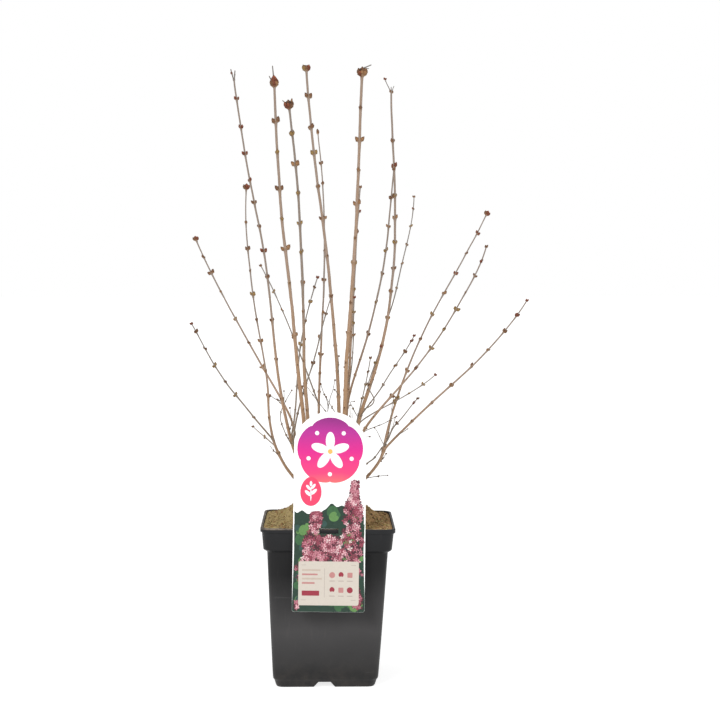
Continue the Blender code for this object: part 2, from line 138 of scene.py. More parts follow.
# ============================================================================
# material helpers
# ============================================================================
class Look:
    """A Principled material with short calls for its nodes."""

    def __init__(self, name, colour=(0.5, 0.5, 0.5), roughness=0.6, specular=0.5, metallic=0.0):
        self.material = bpy.data.materials.new(name)
        self.material.use_nodes = True
        self.tree = self.material.node_tree
        self.shader = self.tree.nodes["Principled BSDF"]
        self.set("Base Color", (*colour, 1.0))
        self.set("Roughness", roughness)
        self.set("Specular IOR Level", specular)
        self.set("Metallic", metallic)
        self.material.diffuse_color = (*colour, 1.0)

    def set(self, socket, value):
        self.shader.inputs[socket].default_value = value

    def node(self, kind, **values):
        made = self.tree.nodes.new(kind)
        for key, value in values.items():
            setattr(made, key, value)
        return made

    def link(self, a, b):
        self.tree.links.new(a, b)

    def feed(self, target, value):
        """Links a socket, or sets a plain number or colour."""
        if isinstance(value, bpy.types.NodeSocket):
            self.link(value, target)
        elif isinstance(value, (tuple, list)):
            target.default_value = (*value, 1.0) if len(value) == 3 and target.type == "RGBA" else value
        else:
            target.default_value = value

    def place(self, kind="Object", stretch=(1.0, 1.0, 1.0)):
        if kind in ("Object", "Generated", "UV"):
            out = self.node("ShaderNodeTexCoord").outputs[kind]
        else:
            out = self.node("ShaderNodeAttribute", attribute_name=kind).outputs["Vector"]
        if stretch == (1.0, 1.0, 1.0):
            return out
        mapping = self.node("ShaderNodeMapping")
        mapping.inputs["Scale"].default_value = stretch
        self.link(out, mapping.inputs["Vector"])
        return mapping.outputs["Vector"]

    def number(self, attribute):
        return self.node("ShaderNodeAttribute", attribute_name=attribute).outputs["Fac"]

    def noise(self, place, scale, detail=4.0, rough=0.55, warp=0.0):
        made = self.node("ShaderNodeTexNoise")
        made.inputs["Scale"].default_value = scale
        made.inputs["Detail"].default_value = detail
        made.inputs["Roughness"].default_value = rough
        made.inputs["Distortion"].default_value = warp
        self.link(place, made.inputs["Vector"])
        return made.outputs["Fac"]

    def cells(self, place, scale, feature="F1", out="Distance", scatter=1.0):
        made = self.node("ShaderNodeTexVoronoi", feature=feature)
        made.inputs["Scale"].default_value = scale
        made.inputs["Randomness"].default_value = scatter
        self.link(place, made.inputs["Vector"])
        return made.outputs[out]

    def range(self, value, low, high, to_low=0.0, to_high=1.0, smooth=False):
        made = self.node("ShaderNodeMapRange")
        made.interpolation_type = "SMOOTHSTEP" if smooth else "LINEAR"
        self.link(value, made.inputs["Value"])
        for name, v in (("From Min", low), ("From Max", high), ("To Min", to_low), ("To Max", to_high)):
            made.inputs[name].default_value = v
        return made.outputs["Result"]

    def mix(self, factor, a, b, how="MIX"):
        made = self.node("ShaderNodeMix", data_type="RGBA", blend_type=how)
        self.feed(made.inputs["Factor"], factor)
        self.feed(made.inputs["A"] if False else made.inputs[6], a)
        self.feed(made.inputs[7], b)
        return made.outputs[2]

    def math(self, how, a, b=0.0):
        made = self.node("ShaderNodeMath", operation=how)
        self.feed(made.inputs[0], a)
        self.feed(made.inputs[1], b)
        return made.outputs[0]

    def ramp(self, value, *stops):
        made = self.node("ShaderNodeValToRGB")
        items = made.color_ramp.elements
        while len(items) < len(stops):
            items.new(0.5)
        for item, (at, colour) in zip(items, stops):
            item.position = at
            item.color = (*colour, 1.0)
        self.link(value, made.inputs["Fac"])
        return made.outputs["Color"]

    def colour(self, value):
        self.feed(self.shader.inputs["Base Color"], value)

    def roughness(self, value):
        self.feed(self.shader.inputs["Roughness"], value)

    def bump(self, value, distance, strength=1.0):
        made = self.node("ShaderNodeBump")
        made.inputs["Strength"].default_value = strength
        made.inputs["Distance"].default_value = distance
        self.link(value, made.inputs["Height"])
        old = self.shader.inputs["Normal"].links
        if old:
            self.link(old[0].from_socket, made.inputs["Normal"])
        self.link(made.outputs["Normal"], self.shader.inputs["Normal"])


# ============================================================================
# mesh helpers
# ============================================================================
def hashed(i, j, k, seed):
    """A repeatable number from 0 to 1 for each lattice point."""
    h = (i * 374761393 + j * 668265263 + k * 1103515245 + seed * 974711) & 0xFFFFFFFF
    h = ((h ^ (h >> 13)) * 1274126177) & 0xFFFFFFFF
    return ((h ^ (h >> 16)) & 0xFFFFFF) / float(0xFFFFFF)


def noise(p, seed=0):
    """Smooth noise from -1 to 1 at each row of p."""
    p = np.asarray(p, float)
    base = np.floor(p).astype(np.int64)
    f = p - base
    f = f * f * (3 - 2 * f)
    total = np.zeros(len(p))
    for dx in (0, 1):
        wx = f[:, 0] if dx else 1 - f[:, 0]
        for dy in (0, 1):
            wy = f[:, 1] if dy else 1 - f[:, 1]
            for dz in (0, 1):
                wz = f[:, 2] if dz else 1 - f[:, 2]
                total += wx * wy * wz * hashed(base[:, 0] + dx, base[:, 1] + dy, base[:, 2] + dz, seed)
    return total * 2 - 1


def layers(p, seed=0, octaves=4, gain=0.5):
    total, size, reach = np.zeros(len(p)), 1.0, 0.0
    p = np.asarray(p, float)
    for k in range(octaves):
        total += size * noise(p, seed + 17 * k)
        reach += size
        size *= gain
        p = p * 2.03 + 11.3
    return total / reach


def unit(v):
    v = np.asarray(v, float)
    return v / max(1e-12, float(np.linalg.norm(v)))


class Heap:
    """Gathers shapes and makes one mesh of them."""

    def __init__(self):
        self.points, self.quads, self.tris, self.quad_looks, self.tri_looks = [], [], [], [], []
        self.extra = {}
        self.count = 0

    def add(self, points, quads=None, tris=None, quad_look=0, tri_look=0, **extra):
        points = np.asarray(points, float).reshape(-1, 3)
        if quads is not None and len(quads):
            self.quads.append(np.asarray(quads, np.int64) + self.count)
            self.quad_looks.append(np.broadcast_to(np.asarray(quad_look), (len(quads),)))
        if tris is not None and len(tris):
            self.tris.append(np.asarray(tris, np.int64) + self.count)
            self.tri_looks.append(np.broadcast_to(np.asarray(tri_look), (len(tris),)))
        self.points.append(points)
        for key, value in extra.items():
            self.extra.setdefault(key, []).append(np.asarray(value, float))
        self.count += len(points)

    def triangles(self):
        return 2 * sum(len(q) for q in self.quads) + sum(len(t) for t in self.tris)

    def mesh(self, name, looks, smooth=None):
        co = np.concatenate(self.points)
        parts = [q.ravel() for q in self.quads] + [t.ravel() for t in self.tris]
        corners = np.concatenate(parts)
        sizes = np.concatenate([np.full(len(q), 4) for q in self.quads] + [np.full(len(t), 3) for t in self.tris])
        kinds = np.concatenate(self.quad_looks + self.tri_looks)
        mesh = bpy.data.meshes.new(name)
        mesh.vertices.add(len(co))
        mesh.vertices.foreach_set("co", co.astype(np.float32).ravel())
        mesh.loops.add(len(corners))
        mesh.loops.foreach_set("vertex_index", corners.astype(np.int32))
        mesh.polygons.add(len(sizes))
        starts = np.concatenate([[0], np.cumsum(sizes)[:-1]])
        mesh.polygons.foreach_set("loop_start", starts.astype(np.int32))
        mesh.polygons.foreach_set("material_index", kinds.astype(np.int32))
        mesh.update(calc_edges=True)
        mesh.validate()
        for key, values in self.extra.items():
            values = np.concatenate(values)
            kind = "FLOAT_VECTOR" if values.ndim == 2 else "FLOAT"
            made = mesh.attributes.new(key, kind, "POINT")
            made.data.foreach_set("vector" if values.ndim == 2 else "value", values.astype(np.float32).ravel())
        for look in looks:
            mesh.materials.append(look.material)
        if smooth is not None:
            mesh.shade_smooth()
            if smooth < 180:
                mesh.set_sharp_from_angle(angle=math.radians(smooth))
        return mesh

    def piece(self, name, looks, slot, stands_for=(), smooth=60):
        thing = bpy.data.objects.new(name, self.mesh(name, looks, smooth))
        scene.collection.objects.link(thing)
        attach(thing, "root")
        if stands_for:
            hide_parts(*stands_for)
        return thing


def weave(rows, sides, closed=True, start=0):
    """Quads between rows of the same number of points."""
    a = np.arange(rows - 1)[:, None] * sides + np.arange(sides if closed else sides - 1)[None, :]
    nxt = (np.arange(sides if closed else sides - 1) + 1) % sides
    b = np.arange(rows - 1)[:, None] * sides + nxt[None, :]
    return (np.stack([a, b, b + sides, a + sides], -1).reshape(-1, 4)) + start


# ============================================================================
# the limbs' centre lines
# ============================================================================
# foot and top in mm, radius at each in mm
STOOLS = {
    "stool_left": ((-16.5, 4.0, 238.0), (-15.5, 6.0, 284.0), 10.5, 8.6),
    "stool_right": ((20.0, -1.0, 238.0), (21.5, -2.0, 284.0), 11.5, 9.6),
}
# parent, places (x, y, z in mm, lean to the right and to the back in degrees)
# from the foot through its bends to the tip, radius at the foot, halfway and
# at the tip
LIMBS = {
    "stem_left_tall": ("stool_left", [(-20, 7, 274, -33, 5), (-65.5, 18, 407, -11, 4), (-95, 33, 640.5, -11.5, 3.5), (-137, 45, 890, -6, 2)], 2.6, 1.5, 1.3),
    "stem_left_front": ("stool_left", [(-20, 2, 265, -50.5, -19), (-83.5, -44, 414, -2.5, -15), (-103, -79, 559.5, -7.5, -12.5), (-110.5, -110, 710, 3, -11)], 2.4, 1.2, 0.85),
    "stem_centre_left": ("stool_left", [(-18.5, 4, 281, -11, -10), (-49.5, -36, 542, -6, -8), (-65, -57, 700, -4, -7), (-72.5, -75, 858, -1, -6)], 3.2, 2.2, 1.75),
    "stem_centre_front": ("stool_left", [(-12, 0, 277, -12, -17), (-32.5, -68, 538, -0.5, -12), (-38.5, -97.5, 690, -3, -10), (-51.5, -120, 823, -8, -9)], 3.1, 1.9, 1.45),
    "stem_centre_slim": ("stool_left", [(-12, 8.5, 281, -1, 19), (-5, 84, 539.5, 3, 14), (-13, 140, 807, -7, 10)], 2.1, 1.4, 0.85),
    "stem_centre_back": ("stool_right", [(15.5, -0.5, 281, 6, 11), (13.5, 34, 481.5, -4, 8.5), (-8.5, 62, 692.5, -7.5, 7), (-29.5, 85, 898, -3, 6)], 3, 2.1, 1.75),
    "stem_right_thick": ("stool_right", [(24.5, -7.5, 281, 0, -7), (30.5, -29, 479, 3, -5.5), (44, -47, 692, 1.5, -4.5), (51, -60, 875, 1, -4)], 3.4, 2.45, 1.9),
    "stem_right_back": ("stool_right", [(21.5, 4.5, 281, 6, 22), (52, 130, 720, 5, 11)], 2.6, 1.8, 1.1),
    "stem_right_tall": ("stool_right", [(29.5, 2.5, 270, -1, 8), (84, 32, 491, 13, 7), (102.5, 53, 679.5, 0.5, 6), (97, 70, 862, 0.5, 5)], 3.3, 1.85, 1.5),
    "bough_right_back": ("stool_right", [(24, 6, 260, 53.5, 26), (85, 38, 327.5, 11.5, 24), (148.5, 106.5, 501, 26.5, 19.5), (248.5, 165, 680, 26, 17)], 2.4, 1.3, 0.85),
    "bough_right_front": ("stem_right_tall", [(None, None, 323, 19, -38), (92, -56, 414, 40.5, -34), (167.5, -120.5, 520, 29, -29), (216.5, -175, 626, 14, -26)], 2.1, 1.15, 0.85),
    "bough_right_low": ("bough_right_back", [(None, None, 327.5, 41, -22), (155.5, 9, 401, 45.5, -21), (225.5, -16.5, 469.5, 42.5, -20), (287, -45, 550.5, 29.5, -18.5)], 1.75, 1.3, 0.85),
    "branch_left_back": ("stem_left_tall", [(None, None, 329, 11, 36), (-97.5, 89, 450, -30.5, 30), (-150.5, 138, 540.5, -29.5, 26.5), (-202.5, 185, 641, -22.5, 24)], 1.8, 1.35, 1),
    "branch_left_low": ("stem_left_front", [(None, None, 349, -37.5, -45), (-128, -95.5, 421, -35.5, -43), (-181, -185, 522.5, -24.5, -40)], 1.3, 1, 0.7),
    "branch_left_spur": ("stem_left_front", [(None, None, 339, -49, 53), (-107, 10, 365, -49, 53)], 0.9, 0.75, 0.6),
    "branch_centre_back": ("stem_left_tall", [(None, None, 346, 12, 5), (-37.5, 24, 486, 8.5, 4), (-13, 30, 583, 17.5, 4)], 1.3, 1.05, 0.8),
    "branch_centre_front": ("stem_left_tall", [(None, None, 337, 5, -20), (-26, -15, 440, 20, -10), (7, -30, 556, 19, -5.5)], 1.3, 1.05, 0.8),
    "branch_centre_cross": ("stem_centre_slim", [(None, None, 394.5, -21.5, 33.5), (-100.5, 150, 600.5, -29, 22)], 1.2, 1, 0.8),
    "branch_right_front": ("stem_right_back", [(None, None, 389.5, 7.5, -30), (61, -17, 504, 14.5, -26), (84, -71, 620.5, 7, -24), (93.5, -120, 733, 5, -23)], 1.75, 1.35, 0.95),
    "branch_right_short": ("stem_right_back", [(None, None, 423.5, 12.5, -11), (41.5, 30, 553.5, 3.5, -11)], 1, 0.85, 0.7),
    "branch_right_side": ("stem_right_tall", [(None, None, 389, 70, -22), (61, 2.5, 428.5, 15, -22), (79, -20, 483.5, 16, -22)], 0.9, 0.8, 0.7),
    "branch_right_high": ("stem_right_tall", [(None, None, 524, 24.5, 42), (115, 102.5, 605, 15, 37), (136.5, 175, 707.5, 2, 34)], 1.05, 0.85, 0.7),
    "branch_low_front": ("stem_right_tall", [(None, None, 338, 8, -18), (63.5, -30, 467.5, 7.5, -18)], 1, 0.85, 0.7),
    "branch_right_fan": ("stem_right_tall", [(None, None, 377.5, 28, -44), (82.5, -30, 430.5, 26.5, -39), (123.5, -85, 502, 24.5, -36)], 1, 0.85, 0.7),
    "branch_right_level": ("stem_right_tall", [(None, None, 367, 41, 32), (108.5, 38.5, 403.5, 61.5, 32), (162.5, 60, 437.5, 50, 32)], 1, 0.85, 0.7),
    "branch_right_fork": ("bough_right_back", [(None, None, 336, 37.5, -47.5), (103.5, 3, 371, 41.5, -47.5), (131, -40, 410, 40, -47.5)], 1, 0.85, 0.7),
}
# where the paired buds sit, in mm along each limb from its foot; the last is
# the tip. Below the first, the limb carries sleeping buds by a rule.
BUDS_AT = {
    "stem_left_tall": (142, 200, 258, 322, 361, 397, 433, 466, 506, 545, 588, 630),
    "stem_left_front": (87, 144, 176, 214, 258, 290, 327, 363, 393, 430, 484),
    "stem_centre_left": (225, 302, 351, 394, 437, 487, 531, 588),
    "stem_centre_front": (271, 312, 355, 396, 438, 479, 521, 563),
    "stem_centre_slim": (168, 197, 260, 312, 357, 407, 461, 493, 545),
    "stem_centre_back": (281, 340, 397, 444, 495, 534, 581, 628),
    "stem_right_thick": (226, 270, 327, 363, 411, 458, 501, 546, 599),
    "stem_right_back": (299, 344, 388, 422, 460),
    "stem_right_tall": (224, 266, 305, 340, 377, 414, 447, 491, 529, 606),
    "bough_right_back": (98, 183, 229, 283, 326, 365, 402, 439, 476, 511),
    "bough_right_front": (130, 189, 228, 264, 299, 329, 357, 381, 403),
    "bough_right_low": (65, 107, 145, 187, 222, 258, 288, 316),
    "branch_left_back": (90, 154, 200, 246, 298, 333, 362, 395),
    "branch_left_low": (59, 112, 142, 177, 211, 244, 261),
    "branch_left_spur": (27, 57, 76),
    "branch_centre_back": (141, 176, 205, 228, 244),
    "branch_centre_front": (131, 170, 207, 234),
    "branch_centre_cross": (69, 120, 169, 203, 228, 251),
    "branch_right_front": (133, 186, 231, 267, 304, 346, 390),
    "branch_right_short": (77, 95, 112, 135),
    "branch_right_side": (54, 90, 119),
    "branch_right_high": (61, 108, 145, 181, 214, 238),
    "branch_low_front": (76, 98, 119, 141),
    "branch_right_fan": (78, 119, 147, 169, 181),
    "branch_right_level": (68, 94, 121, 149),
    "branch_right_fork": (55, 110, 124),
}
# turn of the highest pair of buds about each limb, in degrees from +X, and how
# each limb ends: plump, split, ragged or crown for a big cluster, else a pair
TIPS = {
    "stem_left_tall": (38, "fork"), "stem_left_front": (74, "small"), "stem_centre_left": (14, "plump"),
    "stem_centre_front": (72, "ragged"), "stem_centre_slim": (20, "single"), "stem_centre_back": (28, "split"),
    "stem_right_thick": (76, "crown"), "stem_right_back": (24, "pair"), "stem_right_tall": (58, "spur"),
    "bough_right_back": (30, "small"), "bough_right_front": (62, "pair"), "bough_right_low": (28, "pair"),
    "branch_left_back": (66, "small"),
}
# how strong the pairs are, from the top of a limb down; the last goes on
STRONG = {
    "stem_left_tall": (0.78, 0.90, 0.92, 0.80, 0.88, 0.74, 0.92, 0.78, 0.66, 0.55, 0.45),
    "stem_left_front": (0.60, 0.90, 0.50, 1.00, 0.62, 0.78, 0.58, 0.66, 0.45),
    "stem_centre_left": (1.10, 0.95, 1.08, 0.72, 1.00, 0.42, 0.60, 0.42),
    "stem_centre_front": (1.18, 1.15, 0.95, 0.74, 0.82, 0.56, 0.45),
    "stem_centre_back": (1.08, 0.98, 1.00, 0.74, 0.72, 0.56, 0.45),
    "stem_right_thick": (0.72, 0.92, 0.84, 0.90, 0.62, 0.60, 0.50, 0.40),
    "stem_right_tall": (0.84, 0.96, 0.86, 0.80, 0.86, 0.66, 0.72, 0.56, 0.42),
}
# thin side shoots: the limb that each grows from, the height of its foot in
# mm, the places that it passes in mm, and its radius at foot and tip in mm
SHOOTS = {
    "left_curl": ("stem_left_tall", 335, [(-57, 17, 348), (-66, 25, 368), (-68, 28, 378), (-66, 32, 389), (-58, 38, 405), (-51.5, 42, 416)], 0.8, 0.45),
    "left_cross": ("branch_left_back", 398, [(-76.5, 52, 403), (-86, 46, 411)], 0.7, 0.4),
    "left_faint": ("stem_left_tall", 356, [(-51, 3, 373), (-53, -11, 394)], 0.45, 0.3),
    "mid_lean": ("stem_centre_back", 345, [(10, -4, 370), (-1, -17, 390), (-14, -29, 407.5), (-27, -43, 427)], 0.65, 0.35),
    "mid_fork": ("stem_centre_slim", 334, [(-2, 15, 369), (2, 9, 388), (2, 6, 399), (-0.5, 3, 408), (-4, 0, 416), (-8, -4, 428)], 0.8, 0.45),
    "mid_cross": ("stem_centre_back", 357, [(18, 5, 375), (12, -2, 388), (4.5, -9.5, 401), (0, -14, 410)], 0.6, 0.4),
    "mid_stub": ("stem_centre_back", 409, [(17, 19, 412.5), (12.5, 10.5, 419)], 0.6, 0.4),
    "right_stub": ("stem_right_tall", 375, [(35.5, 2, 400), (40.5, -1, 403)], 0.6, 0.4),
    "right_pin": ("stem_right_thick", 363, [(33.5, -28, 381), (34, -39, 400)], 0.55, 0.35),
    "right_pin_low": ("stem_right_thick", 360, [(36.5, -5, 376), (37.5, 1, 387)], 0.5, 0.35),
    "fork_low": ("stool_right", 283, [(49, 3, 302), (59, 5.5, 311), (68.5, 7, 317.5), (73.5, 8.5, 323), (79.5, 10, 331), (84, 11, 337), (90.5, 13, 348), (98, 16, 365), (101, 18, 377)], 1.25, 0.45),
    "fork_thin": ("bough_right_back", 330, [(90, 37.5, 342.5), (93.5, 35.5, 359), (96, 33, 376), (97.5, 31, 395), (99.5, 29, 407)], 0.65, 0.4),
    "fork_link": ("bough_right_back", 333, [(79, 29, 348), (74, 20, 358.5), (71, 16, 362.5)], 0.5, 0.35),
    "low_level": ("stem_right_tall", 341, [(55, -6, 359), (69.5, -19, 367), (83, -31, 373.5), (94, -42, 381), (100, -47.5, 385)], 0.65, 0.4),
    "far_stub": ("bough_right_low", 350, [(109, 25, 353), (114.5, 20, 357), (119.5, 15, 361)], 0.6, 0.45),
    "foot_level": ("bough_right_back", 288.5, [(63, 17, 289), (74, 7.5, 292), (89, -5, 295)], 0.6, 0.4),
    "pale_stub": ("stem_right_tall", 344, [(49, 0, 349), (56, -9, 351.5), (62.5, -17, 353)], 0.4, 0.3),
}
# side shoots of the side shoots: from which, at which of its places
SHOOTLETS = {
    "left_curl_tip": ("left_curl", 0.72, [(-62.5, 31, 403), (-62.5, 27, 416)], 0.45, 0.35),
    "mid_fork_right": ("mid_fork", 0.62, [(6, 1.5, 409.5), (9, -2.5, 418), (12.5, -6.5, 434)], 0.55, 0.4),
}


SHIFT = np.array([1.7, 0.0, 1.4])    # where the clump stands in the pot, in mm


# limbs that end thinner, and before their last dry twigs: how much shorter the
# living part is and its radius there, in mm
THIN_ENDS = {"stem_left_tall": (14.8, 1.20), "stem_left_front": (2.0, 0.82), "stem_centre_left": (4.4, 1.68), "stem_centre_front": (3.4, 1.45), "stem_centre_slim": (4.0, 0.82), "stem_centre_back": (4.2, 1.62), "stem_right_thick": (4.0, 1.85), "stem_right_tall": (1.2, 1.35)}


def slope(degrees):
    return math.tan(math.radians(degrees))


def hermite(a, b, m0, m1, t):
    t = np.asarray(t, float)[:, None]
    return (2 * t**3 - 3 * t**2 + 1) * a + (t**3 - 2 * t**2 + t) * m0 + (-2 * t**3 + 3 * t**2) * b + (t**3 - t**2) * m1


def leaning_line(places):
    """A dense centre line through places with known leans, in metres."""
    out = []
    for a, b in zip(places, places[1:]):
        p, q = (np.array(a[:3], float) + SHIFT) * MM, (np.array(b[:3], float) + SHIFT) * MM
        rise = q[2] - p[2]
        m0 = np.array([slope(a[3]) * rise, slope(a[4]) * rise, rise])
        m1 = np.array([slope(b[3]) * rise, slope(b[4]) * rise, rise])
        out.append(hermite(p, q, m0, m1, np.linspace(0, 1, 241)[:-1]))
    out.append((np.array([places[-1][:3]], float) + SHIFT) * MM)
    return np.concatenate(out)


def passing_line(points):
    """A dense smooth line through points, in metres."""
    p = np.array(points, float)
    p = np.concatenate([[2 * p[0] - p[1]], p, [2 * p[-1] - p[-2]]])
    out = []
    for k in range(1, len(p) - 2):
        out.append(hermite(p[k], p[k + 1], (p[k + 1] - p[k - 1]) / 2, (p[k + 2] - p[k]) / 2, np.linspace(0, 1, 41)[:-1]))
    out.append(p[-2:-1])
    return np.concatenate(out)


class Limb:
    """A limb by the distance from its foot: its line, its own axes, its
    thickness, its knots and the collars of what grows from it."""

    def __init__(self, name, line, r_foot, r_tip, nodes, turn, parent=None, seed=1, r_mid=None):
        self.name, self.parent, self.seed = name, parent, seed
        self.r_foot, self.r_tip = r_foot * MM, r_tip * MM
        self.r_mid = (r_foot + r_tip) / 2 * MM if r_mid is None else r_mid * MM
        s = np.concatenate([[0.0], np.cumsum(np.linalg.norm(np.diff(line, axis=0), axis=1))])
        length = s[-1]
        rng = np.random.default_rng(seed)
        self.nodes = [n * MM for n in nodes if n * MM <= length - 0.0002]
        # the line steps aside a little at each pair of buds, and wanders
        at = [0.0] + self.nodes + [length]
        aside = np.zeros((len(at), 2))
        for k in range(1, len(at) - 1):
            a = math.radians(turn + 90 * k)
            aside[k] = np.array([math.cos(a), math.sin(a)]) * rng.uniform(0.04, 0.15) * self.r_foot * (1 if k % 2 else -1)
        calm = np.clip(s / 0.02, 0, 1) * np.clip((length - s) / 0.01, 0, 1)
        wander = min(0.25 * MM, 0.11 * self.r_foot) * calm
        dx = np.interp(s, at, aside[:, 0]) + wander * noise(np.stack([s * 38, s * 0 + 3.1, s * 0], -1), seed)
        dy = np.interp(s, at, aside[:, 1]) + wander * noise(np.stack([s * 38, s * 0 + 7.7, s * 0], -1), seed)
        line = line + np.stack([dx, dy, np.zeros_like(dx)], -1)
        self.p = line
        self.s = np.concatenate([[0.0], np.cumsum(np.linalg.norm(np.diff(line, axis=0), axis=1))])
        self.length = self.s[-1]
        t = np.gradient(line, axis=0)
        self.t = t / np.linalg.norm(t, axis=1)[:, None]
        side = np.array([1.0, 0.0, 0.0])
        self.side = np.zeros_like(line)
        for k in range(len(line)):
            side = unit(side - self.t[k] * side.dot(self.t[k]))
            self.side[k] = side
        self.up = np.cross(self.t, self.side)
        self.knots = []          # distance, turn in radians, size
        self.collars = []        # distance, turn in radians, radius of what grows there
        self.out_at = 0.0        # where it leaves its parent's surface
        self.turn = turn

    def _get(self, table, s):
        return np.stack([np.interp(s, self.s, table[:, k]) for k in range(3)], -1)

    def at(self, s):
        return self._get(self.p, s)

    def axes(self, s):
        """Along, side and up at one distance."""
        t = unit(self._get(self.t, s))
        side = self._get(self.side, s)
        side = unit(side - t * side.dot(t))
        return t, side, np.cross(t, side)

    def radius(self, s):
        """The plain taper from the foot through the middle to the tip."""
        share = np.clip(np.asarray(s, float) / self.length, 0, 1)
        return np.interp(share, (0.0, 0.5, 1.0), (self.r_foot, self.r_mid, self.r_tip))

    def at_height(self, z):
        k = int(np.argmin(np.abs(self.p[:, 2] - z)))
        return self.s[k]


def tube_of(limb, sides, step, detail=1.0):
    """Points, quads, tris and attributes of a limb's skin."""
    marks = list(np.arange(0.0, limb.length, step)) + [limb.length - 0.0002]
    near = [-7.5, -6.0, -4.7, -3.6, -2.7, -1.9, -1.2, -0.6, -0.1, 0.35, 0.8, 1.3, 2.1]
    for at, _, size in limb.knots:
        marks += [at + d * MM * max(0.6, min(1.0, size)) for d in near]
    for at, _, r in limb.collars:
        marks += [at + d * r for d in (-2.2, -1.4, -0.7, 0.0, 0.7, 1.4, 2.2)]
    marks += [limb.out_at + d * limb.r_foot for d in (0.0, 0.4, 0.9, 1.5, 2.2)]
    marks = sorted(m for m in marks if 0.0 <= m < limb.length)
    s, last = [], -1.0
    for m in marks:
        if m - last > 0.0003:
            s.append(m)
            last = m
    s = np.array(s)
    n = len(s)
    centre = limb.at(s)
    t = limb._get(limb.t, s)
    t /= np.linalg.norm(t, axis=1)[:, None]
    side = limb._get(limb.side, s)
    side -= t * (side * t).sum(1)[:, None]
    side /= np.linalg.norm(side, axis=1)[:, None]
    up = np.cross(t, side)
    phi = np.arange(sides) / sides * 2 * math.pi
    S, F = np.meshgrid(s, phi, indexing="ij")
    r = limb.radius(S)
    plain = r.copy()
    knot = np.zeros_like(S)
    for at, turn, size in limb.knots:
        d = S - at
        here = limb.radius(at)
        low, high = 4.8 * MM * size, 0.9 * MM * size
        bump = np.where(d < 0, np.exp(-np.abs(d / low) ** 1.35), np.exp(-np.abs(d / high) ** 2))
        tall = min(1.20 * MM, 0.34 * MM + 0.54 * here) * size
        r = r + tall * bump * (0.22 + 0.78 * np.abs(np.cos(F - turn)) ** 1.8)
        knot = np.maximum(knot, bump * size)
    for at, turn, child in limb.collars:
        d = (S - at) / (2.4 * child)
        toward = np.maximum(0, np.cos(F - turn))
        r = r + 0.55 * child * np.exp(-d * d) * toward**2
        knot = np.maximum(knot, 0.8 * np.exp(-d * d) * toward)
    # the flare where it leaves its parent
    over = np.maximum(0, S - limb.out_at) / (1.5 * limb.r_foot)
    r = r * (1 + 0.55 * np.exp(-over * over))
    # ridges, wrinkles and fine grain of the bark
    cos, sin = np.cos(F), np.sin(F)
    ring = np.stack([cos.ravel() * 1.6, sin.ravel() * 1.6, S.ravel() * 42], -1)
    fine = np.stack([cos.ravel() * 3.6, sin.ravel() * 3.6, S.ravel() * 170], -1)
    old = np.clip((plain - 1.3 * MM) / (2.0 * MM), 0, 1)
    relief = 0.055 * noise(ring, limb.seed).reshape(S.shape) + (0.03 + 0.05 * old) * noise(fine, limb.seed + 5).reshape(S.shape)
    cross = np.stack([cos.ravel() * 2.2, sin.ravel() * 2.2, S.ravel() * 620], -1)
    relief = relief + (0.012 + 0.03 * old) * noise(cross, limb.seed + 9).reshape(S.shape)
    r = r * (1 + detail * relief)
    points = centre[:, None, :] + r[..., None] * (cos[..., None] * side[:, None, :] + sin[..., None] * up[:, None, :])
    along = np.stack([cos * plain / MM, sin * plain / MM, S / MM], -1)
    age = np.clip(old * 0.75 + np.clip((0.56 - centre[:, 2]) / 0.18, 0, 1)[:, None] * (0.26 + 0.24 * np.clip((plain - 0.5 * MM) / (1.3 * MM), 0, 1)), 0, 1)
    points = list(points)
    along, age, knot = list(along), list(age), list(knot)
    # a rounded end
    for share, rise in ((0.8, 0.35), (0.45, 0.6)):
        end = points[n - 1] - centre[n - 1]
        points.append(centre[n - 1] + end * share + t[n - 1] * rise * limb.r_tip)
        along.append(along[n - 1])
        age.append(age[n - 1])
        knot.append(knot[n - 1])
    rows = len(points)
    points = np.concatenate([np.array(points).reshape(-1, 3), [centre[0] - t[0] * 0.0002], [centre[n - 1] + t[n - 1] * 0.7 * limb.r_tip]])
    along = np.concatenate([np.array(along).reshape(-1, 3), [[0, 0, 0]], [[0, 0, s[-1] / MM]]])
    age = np.concatenate([np.array(age).ravel(), [age[0][0]], [age[-1][0]]])
    knot = np.concatenate([np.array(knot).ravel(), [0], [knot[-1][0]]])
    quads = weave(rows, sides)
    k = np.arange(sides)
    nxt = (k + 1) % sides
    foot_pole, tip_pole = rows * sides, rows * sides + 1
    tris = np.concatenate([
        np.stack([np.full(sides, foot_pole), nxt, k], -1),
        np.stack([np.full(sides, tip_pole), (rows - 1) * sides + k, (rows - 1) * sides + nxt], -1),
    ])
    return points, quads, tris, along, age, knot


def turn_of(limb, s, direction):
    """The turn about a limb, at a distance, that faces a direction."""
    t, side, up = limb.axes(s)
    return math.atan2(float(np.dot(direction, up)), float(np.dot(direction, side)))


